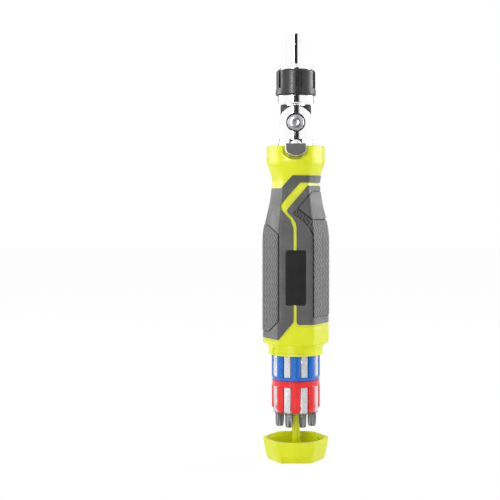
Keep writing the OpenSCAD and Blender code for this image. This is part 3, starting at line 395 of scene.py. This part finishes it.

# %% [markdown]
# Each CAD piece takes the finish of its own slot in the record. Pieces that are rebuilt below hide their CAD
# piece; most take the same finish, and some steel parts take a satin or brushed kin of it.

# %% Finish every CAD piece
finish_of_slot = {
    "yellow_plastic": yellow, "grip_rubber": grip, "badge_black": badge_black, "chrome": chrome,
    "dark_steel": dark_steel, "steel": plain_steel, "collar_black": collar_black, "button_grey": grey,
    "blue_plastic": blue, "red_plastic": red, "bit_steel": bit_steel, "bronze": bronze,
}
slot_of_node = {s["node"]: s["material_slot"] for s in frame["record"]["subparts"]}
for name, node in nodes.items():
    node.data.materials.clear()
    node.data.materials.append(finish_of_slot[slot_of_node[name]])
print("finished", len(nodes), "CAD pieces")

# %% [markdown]
# The handle is a six-sided moulding with round corners that narrows to a waist. Such a body could be cut
# from a block, but drawing it as one section that is extruded from station to station, and scaled at each,
# keeps its faces long and clean. The section starts as a circle of six points whose corners are bevelled.
# Drawn blocks and bars then cut it or are added to it, and the lengths of all pieces are given in mm.

# %% Helpers for drawing and cutting
mm = 0.001


def start_piece():
    """Object mode with nothing selected, so that no earlier piece is changed by the next step."""
    if bpy.context.object and bpy.context.object.mode != "OBJECT":
        bpy.ops.object.mode_set(mode="OBJECT")
    bpy.ops.object.select_all(action="DESELECT")


def choose(*pieces):
    """Selects these pieces alone. The first is the active one."""
    start_piece()
    for piece in pieces:
        piece.select_set(True)
    bpy.context.view_layer.objects.active = pieces[0]


def apply_modifier(piece, kind, **settings):
    choose(piece)
    step = piece.modifiers.new(kind.lower(), kind)
    for key, value in settings.items():
        setattr(step, key, value)
    bpy.ops.object.modifier_apply(modifier=step.name)


def settle(piece, name, angle=30):
    """Doubles merged, normals outwards, place put into the mesh, and smooth shading up to an angle."""
    bpy.ops.object.mode_set(mode="EDIT")
    bpy.ops.mesh.select_all(action="SELECT")
    bpy.ops.mesh.remove_doubles(threshold=0.000001)
    bpy.ops.mesh.normals_make_consistent(inside=False)
    bpy.ops.object.mode_set(mode="OBJECT")
    bpy.ops.object.transform_apply(location=True, rotation=True, scale=True)
    bpy.ops.object.shade_smooth_by_angle(angle=math.radians(angle))
    piece.name = piece.data.name = name
    return piece


def six_sided(name, stations, corner=0.16):
    """A body with six flats, front and back included, from (height, half width across corners) in mm.
    A third number in a station is how far that section goes towards a circle. The radius of the round
    corners is given as a share of the width."""
    start_piece()
    z, width = stations[0][:2]
    sharp_width = width * mm / (1 - corner * (1 / math.cos(math.radians(30)) - 1))
    bpy.ops.mesh.primitive_circle_add(vertices=6, radius=sharp_width, fill_type="NGON",
                                      location=(0, 0, z * mm), rotation=(0, 0, math.radians(30)))
    piece = bpy.context.object
    bpy.ops.object.mode_set(mode="EDIT")
    bpy.ops.mesh.select_all(action="SELECT")
    bpy.ops.mesh.bevel(offset=sharp_width * corner * math.tan(math.radians(30)), segments=8,
                       affect="VERTICES")
    bpy.ops.mesh.select_mode(type="EDGE")
    bpy.ops.mesh.select_all(action="DESELECT")
    mesh = bmesh.from_edit_mesh(piece.data)
    for edge in mesh.edges:
        if edge.calc_length() > width * mm * 0.4:
            edge.select_set(True)
    mesh.select_flush_mode()
    bmesh.update_edit_mesh(piece.data)
    bpy.ops.mesh.subdivide(number_cuts=5)
    bpy.ops.mesh.select_mode(type="VERT")
    bpy.ops.mesh.select_all(action="SELECT")
    for next_z, next_width, *roundness in stations[1:]:
        bpy.ops.mesh.extrude_region_move(TRANSFORM_OT_translate={"value": (0, 0, (next_z - z) * mm)})
        share = next_width / width
        bpy.ops.transform.resize(value=(share, share, 1), center_override=(0, 0, next_z * mm))
        if roundness:
            bpy.ops.transform.tosphere(value=roundness[0])
        z, width = next_z, next_width
    return settle(piece, name)


def drawn_block(name, outline, near, far, rounding=0.0, segments=4):
    """A block with an outline drawn on the front, as (x, z) in mm, carried through from y near to y far.
    The outline starts as a plane merged into one point, which is extruded from corner to corner."""
    start_piece()
    bpy.ops.mesh.primitive_plane_add(size=mm,
                                     location=(outline[0][0] * mm, near * mm, outline[0][1] * mm))
    piece = bpy.context.object
    bpy.ops.object.mode_set(mode="EDIT")
    bpy.ops.mesh.select_all(action="SELECT")
    bpy.ops.mesh.merge(type="CENTER")
    for (x, z), (next_x, next_z) in zip(outline, outline[1:]):
        bpy.ops.mesh.extrude_region_move(
            TRANSFORM_OT_translate={"value": ((next_x - x) * mm, 0, (next_z - z) * mm)})
    bpy.ops.mesh.select_all(action="SELECT")
    bpy.ops.mesh.edge_face_add()
    if rounding:
        bpy.ops.mesh.bevel(offset=rounding * mm, segments=segments, affect="VERTICES", clamp_overlap=True)
        bpy.ops.mesh.select_all(action="SELECT")
    bpy.ops.mesh.extrude_region_move(TRANSFORM_OT_translate={"value": (0, (far - near) * mm, 0)})
    return settle(piece, name)


def cylinder(name, radius, low, high, sides=96, x=0.0, lean=0.0):
    """A round or many-sided bar that stands between two heights, in mm. It leans by degrees about Y."""
    start_piece()
    bpy.ops.mesh.primitive_cylinder_add(vertices=sides, radius=radius * mm, depth=(high - low) * mm,
                                        location=(x * mm, 0, (low + high) / 2 * mm),
                                        rotation=(0, math.radians(lean), 0))
    return settle(bpy.context.object, name)


def cut(piece, tool, operation="DIFFERENCE", keep=False):
    """Cuts, joins or keeps the overlap of two pieces. The tool goes, unless it is kept."""
    apply_modifier(piece, "BOOLEAN", operation=operation, object=tool, solver="EXACT")
    if not keep:
        bpy.data.objects.remove(tool)
    return piece


def twin(piece, name):
    """A copy with its own mesh."""
    copy = piece.copy()
    copy.data = piece.data.copy()
    copy.name = name
    bpy.context.scene.collection.objects.link(copy)
    return copy


def turn_about(piece, degrees, axis="Z"):
    piece.data.transform(Matrix.Rotation(math.radians(degrees), 4, axis))


def move_by(piece, x, y, z):
    piece.data.transform(Matrix.Translation((x * mm, y * mm, z * mm)))


def soften(piece, width, segments=2, angle=35):
    """Rounds the edges that are sharper than an angle."""
    apply_modifier(piece, "BEVEL", width=width * mm, segments=segments, limit_method="ANGLE",
                   angle_limit=math.radians(angle))
    bpy.ops.object.shade_smooth_by_angle(angle=math.radians(40))


def hand_over(piece, body, slot, finish, *cad_nodes):
    """Puts a finished piece in place of its CAD nodes. Weighted normals keep wide faces calm."""
    apply_modifier(piece, "WEIGHTED_NORMAL", keep_sharp=True)
    piece.data.materials.clear()
    piece.data.materials.append(finish)
    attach(piece, body)
    if cad_nodes:
        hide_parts(*cad_nodes)
    print(piece.name, len(piece.data.polygons), "faces")


print("drawing helpers ready")

# %% [markdown]
# The handle is straight over the grip, narrows in one long curve to the waist, and swells in a hollow curve
# to the bolster at the top. The same stations, made larger or smaller all round, serve for the core and for
# every skin that is laid on it or sunk in it.

# %% Outline of the handle up the axis
base_z, full_z, waist_z, bolster_z, bolster_top_z = 69.5, 130.4, 163.6, 177.2, 187.2
core_r, waist_r, bolster_r = 19.3, 14.2, 17.6
grip_steps, curve_steps, hollow_steps = 4, 14, 8


def handle_stations(extra):
    """Stations in mm for a handle that is larger all round by an extra."""
    full, waist, bolster = core_r + extra, waist_r + extra, bolster_r + extra
    straight = [(base_z + t / grip_steps * (full_z - base_z), full) for t in range(grip_steps)]
    long_curve = [(full_z + t / curve_steps * (waist_z - full_z),
                   full - (core_r - waist_r) * (1 - math.cos(math.pi * t / curve_steps)) / 2)
                  for t in range(curve_steps + 1)]
    hollow = [(waist_z + t / hollow_steps * (bolster_z - waist_z),
               waist + (bolster_r + 0.45 - waist_r) * (1 - math.cos(math.pi / 2 * t / hollow_steps)), 0.14)
              for t in range(1, hollow_steps + 1)]
    top = [(bolster_top_z - 6.5, bolster + 0.4), (bolster_top_z - 0.8, bolster + 0.4),
           (bolster_top_z - 0.3, bolster + 0.15), (bolster_top_z, bolster - 0.4)]
    return straight + long_curve + hollow + top


print(len(handle_stations(0)), "stations")

# %% [markdown]
# The edges of the rubber fields are drawn on the front, as (x, z) in mm. Corners that lie on an edge between
# two flats are shares of the core's radius R. Sides that run out of sight end FAR away. Growing an outline
# gives the gap or the groove beside it.

# %% Outlines of the soft grip
R = core_r
FAR = 40
left_outline = [
    (-FAR, 162.0), (-0.454 * R, 162.0), (-0.106 * R, 169.5), (FAR, 169.5), (FAR, 165.2), (0.13 * R, 165.2),
    (-0.482 * R, 151.9), (-0.482 * R, 150.3), (-3.0, 143.3), (-1.3, 138.2), (-1.3, 83.5), (-0.106 * R, 82.7),
    (-0.539 * R, 72.9), (-FAR, 72.9)]
right_outline = [
    (FAR, 163.4), (0.352 * R, 163.4), (-0.262 * R, 149.5), (-0.262 * R, 147.9), (-2.0, 144.8), (0.0, 141.3),
    (0.4, 138.2), (0.4, 83.5), (1.25, 81.9), (FAR, 81.9)]
stripe_outline = [
    (FAR, 165.5), (0.12 * R, 165.5), (-0.497 * R, 152.1), (-0.497 * R, 150.1), (-3.3, 143.2), (-1.6, 138.1),
    (-1.6, 83.4), (0.7, 83.4), (0.7, 138.2), (0.3, 141.4), (-1.7, 145.0), (-0.247 * R, 148.0),
    (-0.247 * R, 149.4), (0.362 * R, 163.1), (FAR, 163.1)]


def grown(outline, gap):
    """The outline moved out by a gap in mm, corner by corner."""
    corners = [Vector(point) for point in outline]
    turning = sum(a.cross(b) for a, b in zip(corners, corners[1:] + corners[:1]))
    side = math.copysign(1, turning)
    moved = []
    for before, here, after in zip(corners[-1:] + corners[:-1], corners, corners[1:] + corners[:1]):
        first, second = (here - before).normalized(), (after - here).normalized()
        out = [Vector((way.y, -way.x)) * side for way in (first, second)]
        moved.append(tuple(here + (out[0] + out[1]) / (1 + out[0].dot(out[1])) * gap))
    return moved


print(len(left_outline) + len(right_outline) + len(stripe_outline), "corners")

# %% [markdown]
# The core carries a raised ring at its foot, which stops a little short of the rubber all along its edge.
# The stripe between the two fields of rubber is sunk a little, and so is a narrow band at their lower edge.
# Both are cut with a skin: the part of a slightly larger handle that lies behind an outline and outside a
# smaller handle.

# %% Core of the handle
def skin(name, outline, proud, sunk, rounding=0.0):
    """The part behind an outline of a handle made larger by proud, outside a handle made larger by sunk.
    The inner handle runs on past the top, so that the skin is open there."""
    piece = six_sided(name, handle_stations(proud))
    cut(piece, drawn_block("outline", outline, -FAR, FAR, rounding), "INTERSECT")
    return cut(piece, six_sided("inner", handle_stations(sunk)[:-3] + [(200, 18)]))


core = six_sided("handle_core_shape", handle_stations(0))
cut(core, skin("stripe_sink", stripe_outline, 2, -0.38))
base_ring = six_sided("base_ring", [(69.5, 19.0), (69.8, 19.6), (70.4, 19.8), (84.2, 19.8), (84.6, 19.2)])
for outline in (left_outline, right_outline):
    cut(base_ring, drawn_block("outline", grown(outline, 1.1), -FAR, FAR))
cut(core, base_ring, "UNION")
for outline in (left_outline, right_outline):
    band = skin("band", grown(outline, 1.2), 2, -0.25)
    cut(band, drawn_block("above", [(-FAR, 90), (FAR, 90), (FAR, 210), (-FAR, 210)], -FAR, FAR))
    cut(core, band)
cut(core, cylinder("neck", 16.3, 63.1, 69.7), "UNION")
cut(core, cylinder("neck_root", 17, 67.9, 69.6), "UNION")
cut(core, cylinder("bore", 14.8, 63, 132.4))
print("core", len(core.data.polygons), "faces")

# %% [markdown]
# The cap locks with a bayonet. Its tracks are milled-looking recesses in the neck: an entry and a slot that
# runs round from it. A curved recess is drawn as a sector that is spun about the axis.

# %% Bayonet tracks in the neck
bayonet_turns = (-140, 40)


def sector(name, inner, outer, low, high, first, last, steps=16):
    """A piece of a ring, angles in degrees from +X. With no window, spin turns clockwise, so the face starts
    at the last angle."""
    start_piece()
    bpy.ops.mesh.primitive_plane_add(size=1, location=((inner + outer) / 2 * mm, 0, (low + high) / 2 * mm),
                                     rotation=(math.radians(90), 0, 0))
    piece = bpy.context.object
    piece.scale = ((outer - inner) * mm, (high - low) * mm, 1)
    bpy.ops.object.transform_apply(location=True, rotation=True, scale=True)
    turn_about(piece, last)
    bpy.ops.object.mode_set(mode="EDIT")
    bpy.ops.mesh.select_all(action="SELECT")
    bpy.ops.mesh.spin(steps=steps, angle=math.radians(last - first), center=(0, 0, 0), axis=(0, 0, 1))
    return settle(piece, name)


for turn in bayonet_turns:
    cut(core, sector("entry", 15.5, 18, 62, 66.5, turn - 8, turn + 8))
    cut(core, sector("track", 15.5, 18, 64.5, 67.6, turn - 8.5, turn + 68))
print("core", len(core.data.polygons), "faces")

# %% [markdown]
# The lock button slides in a shield-shaped recess at the top of the front. A narrower well behind it takes
# the slide, and a round bore takes the shank of the yoke. Last, all the edges of the core are rounded.

# %% Recess for the lock button and slide
def shield_points(half, low, high, sag, steps=8):
    """Straight sides and a foot that is a flat arc, from the top right round to the top left."""
    arc_r = (half * half + sag * sag) / (2 * sag)
    foot = [(x, low + arc_r - math.sqrt(arc_r * arc_r - x * x))
            for x in (half - 2 * half * t / steps for t in range(steps + 1))]
    return [(half, high)] + foot + [(-half, high)]


recess = drawn_block("recess", shield_points(7.7, 178.6, 195, 3.7, 16), -40, -11.5)
cut(core, recess)
slide_well = drawn_block("slide_well", [(-3.8, 178.3), (3.8, 178.3), (3.8, 195), (-3.8, 195)], -12.6, -8.5)
cut(core, slide_well)
cut(core, cylinder("shank_bore", 8, 166.2, 196.2, sides=64))
soften(core, 0.35, 3, 38)
hand_over(core, "handle", "yellow_plastic", yellow, "handle_core")

# %% [markdown]
# The soft grip is two fields of rubber, moulded over the core. Each is a skin behind its outline. The outline
# goes right through, so the back of the handle shows the same stripe from behind. A trench is sunk where each
# raised pad will stand, wider than the pad by a groove, and the seat of the badge plate is cut last.

# %% Two fields of soft grip
left_pad_outline = [
    (-FAR, 140.4), (-17.9, 140.4), (-15.4, 139.0), (-10.4, 134.4), (-10.4, 84.2), (-16.3, 77.2), (-FAR, 77.2)]
right_pad_outline = [
    (FAR, 142.9), (9.4, 142.9), (1.2, 149.5), (-1.2, 147.0), (4.8, 142.9), (8.6, 138.6), (10.4, 134.6),
    (10.6, 131.0), (10.6, 86.4), (FAR, 86.4)]
smooth_pad_outline = [(FAR, 159.8), (9.9, 159.8), (1.7, 150.3), (9.6, 143.9), (FAR, 143.9)]
groove = 0.62
grip_left = skin("grip_left_shape", left_outline, 0.5, -0.5, 0.5)
cut(grip_left, skin("trench", grown(left_pad_outline, groove), 2, 0.1, 1.0))
grip_right = skin("grip_right_shape", right_outline, 0.5, -0.5, 0.5)
for outline in (right_pad_outline, smooth_pad_outline):
    cut(grip_right, skin("trench", grown(outline, groove), 2, 0.1, 0.8))
badge_seat = drawn_block("badge_seat", [(-6.05, 93.15), (6.05, 93.15), (6.05, 125.65), (-6.05, 125.65)],
                         -FAR, -16.9, 1.1)
for piece in (grip_left, grip_right):
    cut(piece, badge_seat, keep=True)
    soften(piece, 0.32, 3, 38)
cut(core, badge_seat)
hand_over(grip_left, "handle", "grip_rubber", grip, "grip_left")
hand_over(grip_right, "handle", "grip_rubber", grip, "grip_right")

# %% [markdown]
# The grooves round the pads get painted shade at the bottom. A thin skin of near-black rubber lies on the
# floor of each trench, and the pad hides all but its edge.

# %% Painted shade on the groove floors
floors = [("left_pad_groove", left_pad_outline, 1.0), ("right_pad_groove", right_pad_outline, 0.8),
          ("smooth_pad_groove", smooth_pad_outline, 0.8)]
for name, outline, rounding in floors:
    ledge = skin(name, grown(outline, groove + 0.05), 0.16, 0.02, rounding)
    hand_over(ledge, "handle", "grip_rubber", groove_shade_rubber)

# %% [markdown]
# Raised pads give the fingers more hold. Each has a field of fine zigzag ribs, except the upper right one,
# which is smooth. They are skins of a handle shape that stands a little prouder than the fields.

# %% Raised pads
pads = [
    ("left_grip_pad", left_pad_outline, 0.8, ribbed), ("right_grip_pad", right_pad_outline, 0.6, ribbed),
    ("smooth_grip_pad", smooth_pad_outline, 0.5, grip)]
for name, outline, rounding, finish in pads:
    pad = skin(name, outline, 0.8, -0.25, rounding)
    soften(pad, 0.2, 2, 38)
    hand_over(pad, "handle", "grip_rubber", finish)

# %% [markdown]
# The plate on the front is a smooth black insert with soft corners, sunk in its seat. It stays bare.

# %% Bare badge plate
plate = drawn_block("badge_plate_shape", [(-5.9, 93.4), (5.9, 93.4), (5.9, 125.5), (-5.9, 125.5)],
                    -17.95, -17.0, 1.0, 6)
soften(plate, 0.25, 3, 60)
hand_over(plate, "handle", "badge_black", badge_black, "badge_plate")

# %% [markdown]
# Round parts are turned: a circle is extruded from ring to ring and scaled at each, like a profile on a
# lathe. A tube comes back down inside, to the ring that it started from. Parts that repeat round the axis
# are made once, copied and turned into place.

# %% Helpers for turned and repeated pieces
def turned(name, rings, hollow=False, sides=96, angle=30):
    """A turned piece from (height, radius) rings in mm. A hollow one ends on its first ring."""
    start_piece()
    z, radius = rings[0]
    bpy.ops.mesh.primitive_circle_add(vertices=sides, radius=radius * mm, location=(0, 0, z * mm),
                                      fill_type="NOTHING" if hollow else "NGON")
    piece = bpy.context.object
    bpy.ops.object.mode_set(mode="EDIT")
    bpy.ops.mesh.select_all(action="SELECT")
    for next_z, next_radius in rings[1:]:
        bpy.ops.mesh.extrude_region_move(TRANSFORM_OT_translate={"value": (0, 0, (next_z - z) * mm)})
        share = next_radius / radius
        bpy.ops.transform.resize(value=(share, share, 1), center_override=(0, 0, next_z * mm))
        z, radius = next_z, next_radius
    return settle(piece, name, angle)


def joined(name, pieces):
    choose(*pieces)
    bpy.ops.object.join()
    pieces[0].name = name
    return pieces[0]


def around(piece, turns):
    """Copies of a piece at these turns about the axis, in degrees, joined into one."""
    copies = [twin(piece, f"{piece.name}_{i}") for i in range(len(turns))]
    for copy, turn in zip(copies, turns):
        turn_about(copy, turn)
    name = piece.name
    bpy.data.objects.remove(piece)
    return joined(name, copies)


def bar(name, low, high):
    """A block between two corners in mm."""
    start_piece()
    middle = [(a + b) / 2 * mm for a, b in zip(low, high)]
    bpy.ops.mesh.primitive_cube_add(size=1, location=middle)
    piece = bpy.context.object
    piece.scale = [(b - a) * mm for a, b in zip(low, high)]
    return settle(piece, name)


print("turning helpers ready")

# %% [markdown]
# The end cap is a cup with the same six sides as the handle. It flares from its foot to its rim. Inside are
# a narrow floor, a straight wall that fits over the neck, and two bayonet lugs. A shallow notch in the foot
# of the front gives the thumb a hold.

# %% End cap
cap = six_sided("end_cap_shape", [
    (0, 16.3), (0.25, 16.75), (0.7, 17.1), (3.4, 17.95), (6.5, 18.65), (9.5, 19.2), (12.5, 19.7),
    (12.85, 19.6), (13.0, 19.35)], corner=0.26)
cut(cap, turned("cup", [(3.4, 13.2), (3.6, 13.8), (6.5, 16.45), (11.3, 16.45), (11.3, 17.15), (14, 17.15)]))
notch = drawn_block("notch", [(-8.1, -6), (8.1, -6), (8.1, 5.2), (-8.1, 5.2)], -30, 0, 1.3, 5)
turn_about(notch, 19, "X")
move_by(notch, 0, -13.7, 0)
cut(cap, notch)
soften(cap, 0.3, 3, 40)
for turn in bayonet_turns:
    lug = sector("lug", 15.6, 16.7, 9, 11, turn - 7.5, turn + 7.5, 6)
    cap = joined("end_cap_shape", [cap, lug])
hand_over(cap, "cap", "yellow_plastic", yellow, "end_cap")

# %% [markdown]
# Two carriers hold eight bits each, in hexagon slots with a window in front of every bit. A carrier starts
# as a turned drum. One slot and one window are made, copied round, and cut from it. Rounding the cut edges
# widely gives the plump ribs of the real moulding. The ribs of the lower carrier end in points.

# %% Bit carriers
bit_circle_r = 10.4
rib_turns = [45 * i for i in range(8)]
slot_turns = [-90 + 45 * (i + 0.5) for i in range(8)]


def slot_tools(low, high, window_low, window_high):
    """Cutters for the eight slots and their windows, between these heights."""
    slot = cylinder("slot", 3.8, low, high, sides=6, x=bit_circle_r)
    window = bar("window", (bit_circle_r, -2.6, window_low), (20, 2.6, window_high))
    return around(slot, slot_turns), around(window, slot_turns)


def crowns(low, high):
    """Eight round ribs, one between every two slots."""
    crown = cylinder("crown", 3.6, low, high, sides=64, x=10.9)
    soften(crown, 0.5, 3, 38)
    return around(crown, rib_turns)


upper = turned("upper_carrier_shape", [
    (48.1, 14.0), (48.4, 14.3), (50.0, 14.3), (50.8, 13.0), (67.7, 13.0), (68, 12.7)], sides=144)
cut(upper, crowns(49.2, 67.8), "UNION")
for tool in slot_tools(49.4, 70, 50.3, 66.2):
    cut(upper, tool)
lower = turned("lower_carrier_shape", [
    (30.5, 12.0), (30.9, 12.4), (33, 12.9), (34, 13.0), (43.8, 13.0), (44.6, 14.3), (47.7, 14.3),
    (47.95, 14.05)], sides=144)
point = drawn_block("point", [(0, 28.5), (3.4, 31.2), (3.4, 33.2), (-3.4, 33.2), (-3.4, 31.2)], -14.2, -10.2)
tips = around(point, rib_turns)
cut(tips, turned("tip_bound", [(28, 12.9), (31, 13.8), (34, 14.5)]), "INTERSECT")
cut(lower, crowns(31.2, 45.2), "UNION")
cut(lower, tips, "UNION")
for tool in slot_tools(27, 45.6, 27, 44.3):
    cut(lower, tool)
for piece in (upper, lower):
    cut(piece, cylinder("hub", 2.52, 18, 78, sides=48))
    soften(piece, 0.4, 3, 38)
hand_over(upper, "cartridge", "blue_plastic", blue, "upper_bit_carrier")
hand_over(lower, "cartridge", "red_plastic", red, "lower_bit_carrier")

# %% [markdown]
# The lower bits stand with their tips down. A real one is drawn from hexagon wire, turned down at one end,
# and the flutes are pressed in. Here the tip is turned, its flutes are cut by small rods that lean with the
# taper, and the shank is a hexagon with its ends rounded. Two bits are made, a star and a cross, and copied
# into the eight slots, from number 8 on.

# %% Lower bits
def driver_bit(name, flutes, tip_r, rod_r):
    """A bit in the first slot, with its tip down. The flutes are cut by rods of radius rod_r."""
    tip = turned(name, [
        (20.55, tip_r * 0.72), (20.9, tip_r * 0.84), (21.8, tip_r * 0.93), (24.5, tip_r), (27.4, tip_r),
        (27.8, tip_r + 0.15), (28.9, 3.1), (29.6, 3.1)], sides=48)
    flute = cylinder("flute", rod_r, 14.4, 26.4, sides=16, x=tip_r, lean=5)
    cut(tip, around(flute, [360 / flutes * (i + 0.5) for i in range(flutes)]))
    shank = cylinder("shank", 3.66, 28.65, 45.55, sides=6)
    shank_bound = turned("shank_bound", [(28.65, 3.1), (29.1, 3.7), (45.1, 3.7), (45.55, 3.2)], sides=48)
    cut(shank, shank_bound, "INTERSECT")
    cut(tip, shank, "UNION")
    move_by(tip, bit_circle_r, 0, 0)
    return tip


star_bit = driver_bit("star_bit", 6, 2.6, 0.62)
cross_bit = driver_bit("cross_bit", 4, 2.3, 0.95)
cross_numbers = (1, 3, 5, 8)
for i, number in enumerate([8, 1, 2, 3, 4, 5, 6, 7]):
    bit = twin(cross_bit if number in cross_numbers else star_bit, f"lower_bit_{number}_shape")
    turn_about(bit, -112.5 + 45 * i)
    hand_over(bit, f"lower_bit_{number}_body", "bit_steel", bit_steel, f"lower_bit_{number}")
for source in (star_bit, cross_bit):
    bpy.data.objects.remove(source)

# %% [markdown]
# The direction collar is turned with a plain band at its foot and six knurled pads above, parted by
# channels. The knurl is a field of small raised diamonds, each a cone with four sides. One is made, and
# copies are set in staggered rows.

# %% Direction collar
collar = turned("collar_shape", [
    (217.4, 9.25), (217.4, 11.6), (217.6, 11.9), (218.0, 12.1), (218.4, 12.15), (220.6, 12.1), (221.4, 11.75),
    (231.5, 11.65), (232.2, 11.3), (232.8, 10.5), (232.8, 9.25), (217.4, 9.25)], hollow=True, sides=144)
channel = sector("channel", 10.9, 13, 221.6, 234, -9, 9, 8)
cut(collar, around(channel, [-81 + 60 * i for i in range(6)]))
soften(collar, 0.3, 2, 38)
start_piece()
bpy.ops.mesh.primitive_cone_add(vertices=4, radius1=0.78 * mm, radius2=0.45 * mm, depth=0.24 * mm,
                                location=(11.62 * mm, 0, 0), rotation=(0, math.radians(90), 0))
diamond = settle(bpy.context.object, "diamond")
first_row_z, row_step, turn_step = 222.7, 1.15, 8.2
diamonds = []
for row in range(8):
    count = 5 if row % 2 == 0 else 4
    for place in range(count):
        copy = twin(diamond, f"diamond_{row}_{place}")
        turn_about(copy, (place - (count - 1) / 2) * turn_step)
        move_by(copy, 0, 0, first_row_z + row * row_step)
        diamonds.append(copy)
bpy.data.objects.remove(diamond)
pad_knurl = joined("pad_knurl", diamonds)
collar = joined("collar_shape", [collar, around(pad_knurl, [-51 + 60 * i for i in range(6)])])
hand_over(collar, "collar", "collar_black", collar_black, "direction_collar")

# %% [markdown]
# The lock button is a small shield of satin plastic with a gently crowned face. Rounding its edges widely
# stands in for the crown.

# %% Lock button
button = drawn_block("lock_button_shape", shield_points(5.85, 181.3, 188.3, 3.0, 16), -16.1, -13.03)
soften(button, 0.55, 4, 30)
hand_over(button, "lock", "button_grey", grey, "lock_button")

# %% [markdown]
# The slide behind the button is polished steel: a plate that shows as a bright rim round the button, a tab
# with a round top, an arm that reaches into the yoke, and the tooth that locks the head. The tab's edges are
# rounded so widely that its front becomes a dome.

# %% Lock slide
tab_r, tab_z = 3.5, 187.3
tab_top = [(tab_r * math.cos(math.radians(a)), tab_z + tab_r * math.sin(math.radians(a)))
           for a in range(0, 181, 12)]
tab = drawn_block("tab", [(tab_r, 181.5)] + tab_top + [(-tab_r, 181.5)], -11.53, -8.83)
soften(tab, 1.6, 8, 50)
rim = drawn_block("rim", shield_points(6.4, 180.75, 188.3, 3.0, 16), -15.4, -11.48)
soften(rim, 0.5, 4, 50)
arm = bar("arm", (-2.9, -8.9, 186.4), (2.9, 3, 189.4))
tooth = drawn_block("tooth", [
    (-1.98, 189.3), (1.98, 189.3), (0.99, 191.9), (0.5, 192.9), (-0.5, 192.9), (-0.99, 191.9)], -3, 3)
slide = joined("lock_slide_shape", [tab, rim, arm, tooth])
hand_over(slide, "lock", "chrome", slide_steel, "lock_slide")

# %% [markdown]
# The yoke is forged and then milled, so all its edges are broken. Its shape is already right in the CAD, so
# a copy of that mesh is merged, its flat faces are made whole again, and a bevel rounds the sharp edges.

# %% Flex yoke
yoke = twin(nodes["flex_yoke"], "flex_yoke_shape")
choose(yoke)
bpy.ops.object.mode_set(mode="EDIT")
bpy.ops.mesh.select_all(action="SELECT")
bpy.ops.mesh.remove_doubles(threshold=0.000001)
bpy.ops.mesh.dissolve_limited(angle_limit=math.radians(0.4))
settle(yoke, "flex_yoke_shape", 35)
soften(yoke, 0.3, 3, 38)
hand_over(yoke, "handle", "chrome", satin_chrome, "flex_yoke")

# %% [markdown]
# The hinge pin has a domed head at each end with a small dimple, from the press that spread it. It is a
# turned piece, laid down along the line of the hinge.

# %% Hinge pin
hinge_z = 201
half_pin = [(8.0, 3.0), (8.0, 4.9), (9.2, 4.9), (9.55, 4.75), (9.85, 4.35), (10.2, 3.6), (10.45, 2.7),
            (10.6, 1.75), (10.4, 1.3), (10.2, 0.7)]
pin = turned("hinge_pin_shape", [(-z, r) for z, r in reversed(half_pin)] + half_pin, angle=40)
turn_about(pin, 90, "X")
move_by(pin, 0, 0, hinge_z)
hand_over(pin, "handle", "steel", pin_steel, "hinge_pin")

# %% [markdown]
# The housing and the nose ring are turned steel, polished and plated. Every edge that a finger meets is
# rounded, in the profile itself.

# %% Ratchet housing and nose ring
housing = turned("ratchet_housing_shape", [
    (211.1, 8.4), (211.1, 8.9), (211.4, 9.4), (212.3, 10.75), (212.7, 11.1), (213.2, 11.25), (216.7, 11.25),
    (217.0, 11.18), (217.1, 11.0), (217.1, 8.4), (211.1, 8.4)], hollow=True, sides=144)
hand_over(housing, "ratchet_head", "chrome", satin_chrome, "ratchet_housing")
nose = turned("nose_ring_shape", [
    (231.6, 4.15), (231.6, 8.0), (232.9, 8.0), (232.9, 9.8), (233.4, 9.8), (233.75, 9.72), (234.2, 9.45),
    (234.65, 8.95), (235.0, 8.3), (235.2, 7.4), (235.2, 4.15), (231.6, 4.15)], hollow=True, sides=144)
hand_over(nose, "ratchet_head", "chrome", chrome, "nose_ring")

# %% [markdown]
# The bit holder is turned from one bar. Its socket is a hexagon that is broached into it. A seat at the foot
# of the socket takes the magnet, and a groove near its mouth takes the spring ring.

# %% Bit holder
holder = turned("bit_holder_shape", [
    (214.6, 3.6), (215.0, 4.0), (227.4, 4.0), (227.4, 3.5), (228.0, 3.5), (228.0, 4.0), (235.35, 4.0),
    (235.35, 6.2), (235.6, 6.1), (235.9, 5.75), (236.15, 5.55), (236.5, 5.5), (254.0, 5.5), (254.3, 5.35),
    (254.45, 5.1)], sides=128)
tools = [turned("magnet_seat", [(239.45, 2.5), (243, 2.5)]),
         turned("ring_groove", [(249.45, 4.4), (250.45, 4.4)]),
         turned("mouth", [(253.95, 3.6), (254.75, 4.5)]),
         cylinder("socket", 3.76, 242.45, 255.45, sides=6)]
for tool in tools:
    cut(holder, tool)
soften(holder, 0.06, 2, 45)
hand_over(holder, "spindle", "chrome", chrome, "bit_holder")
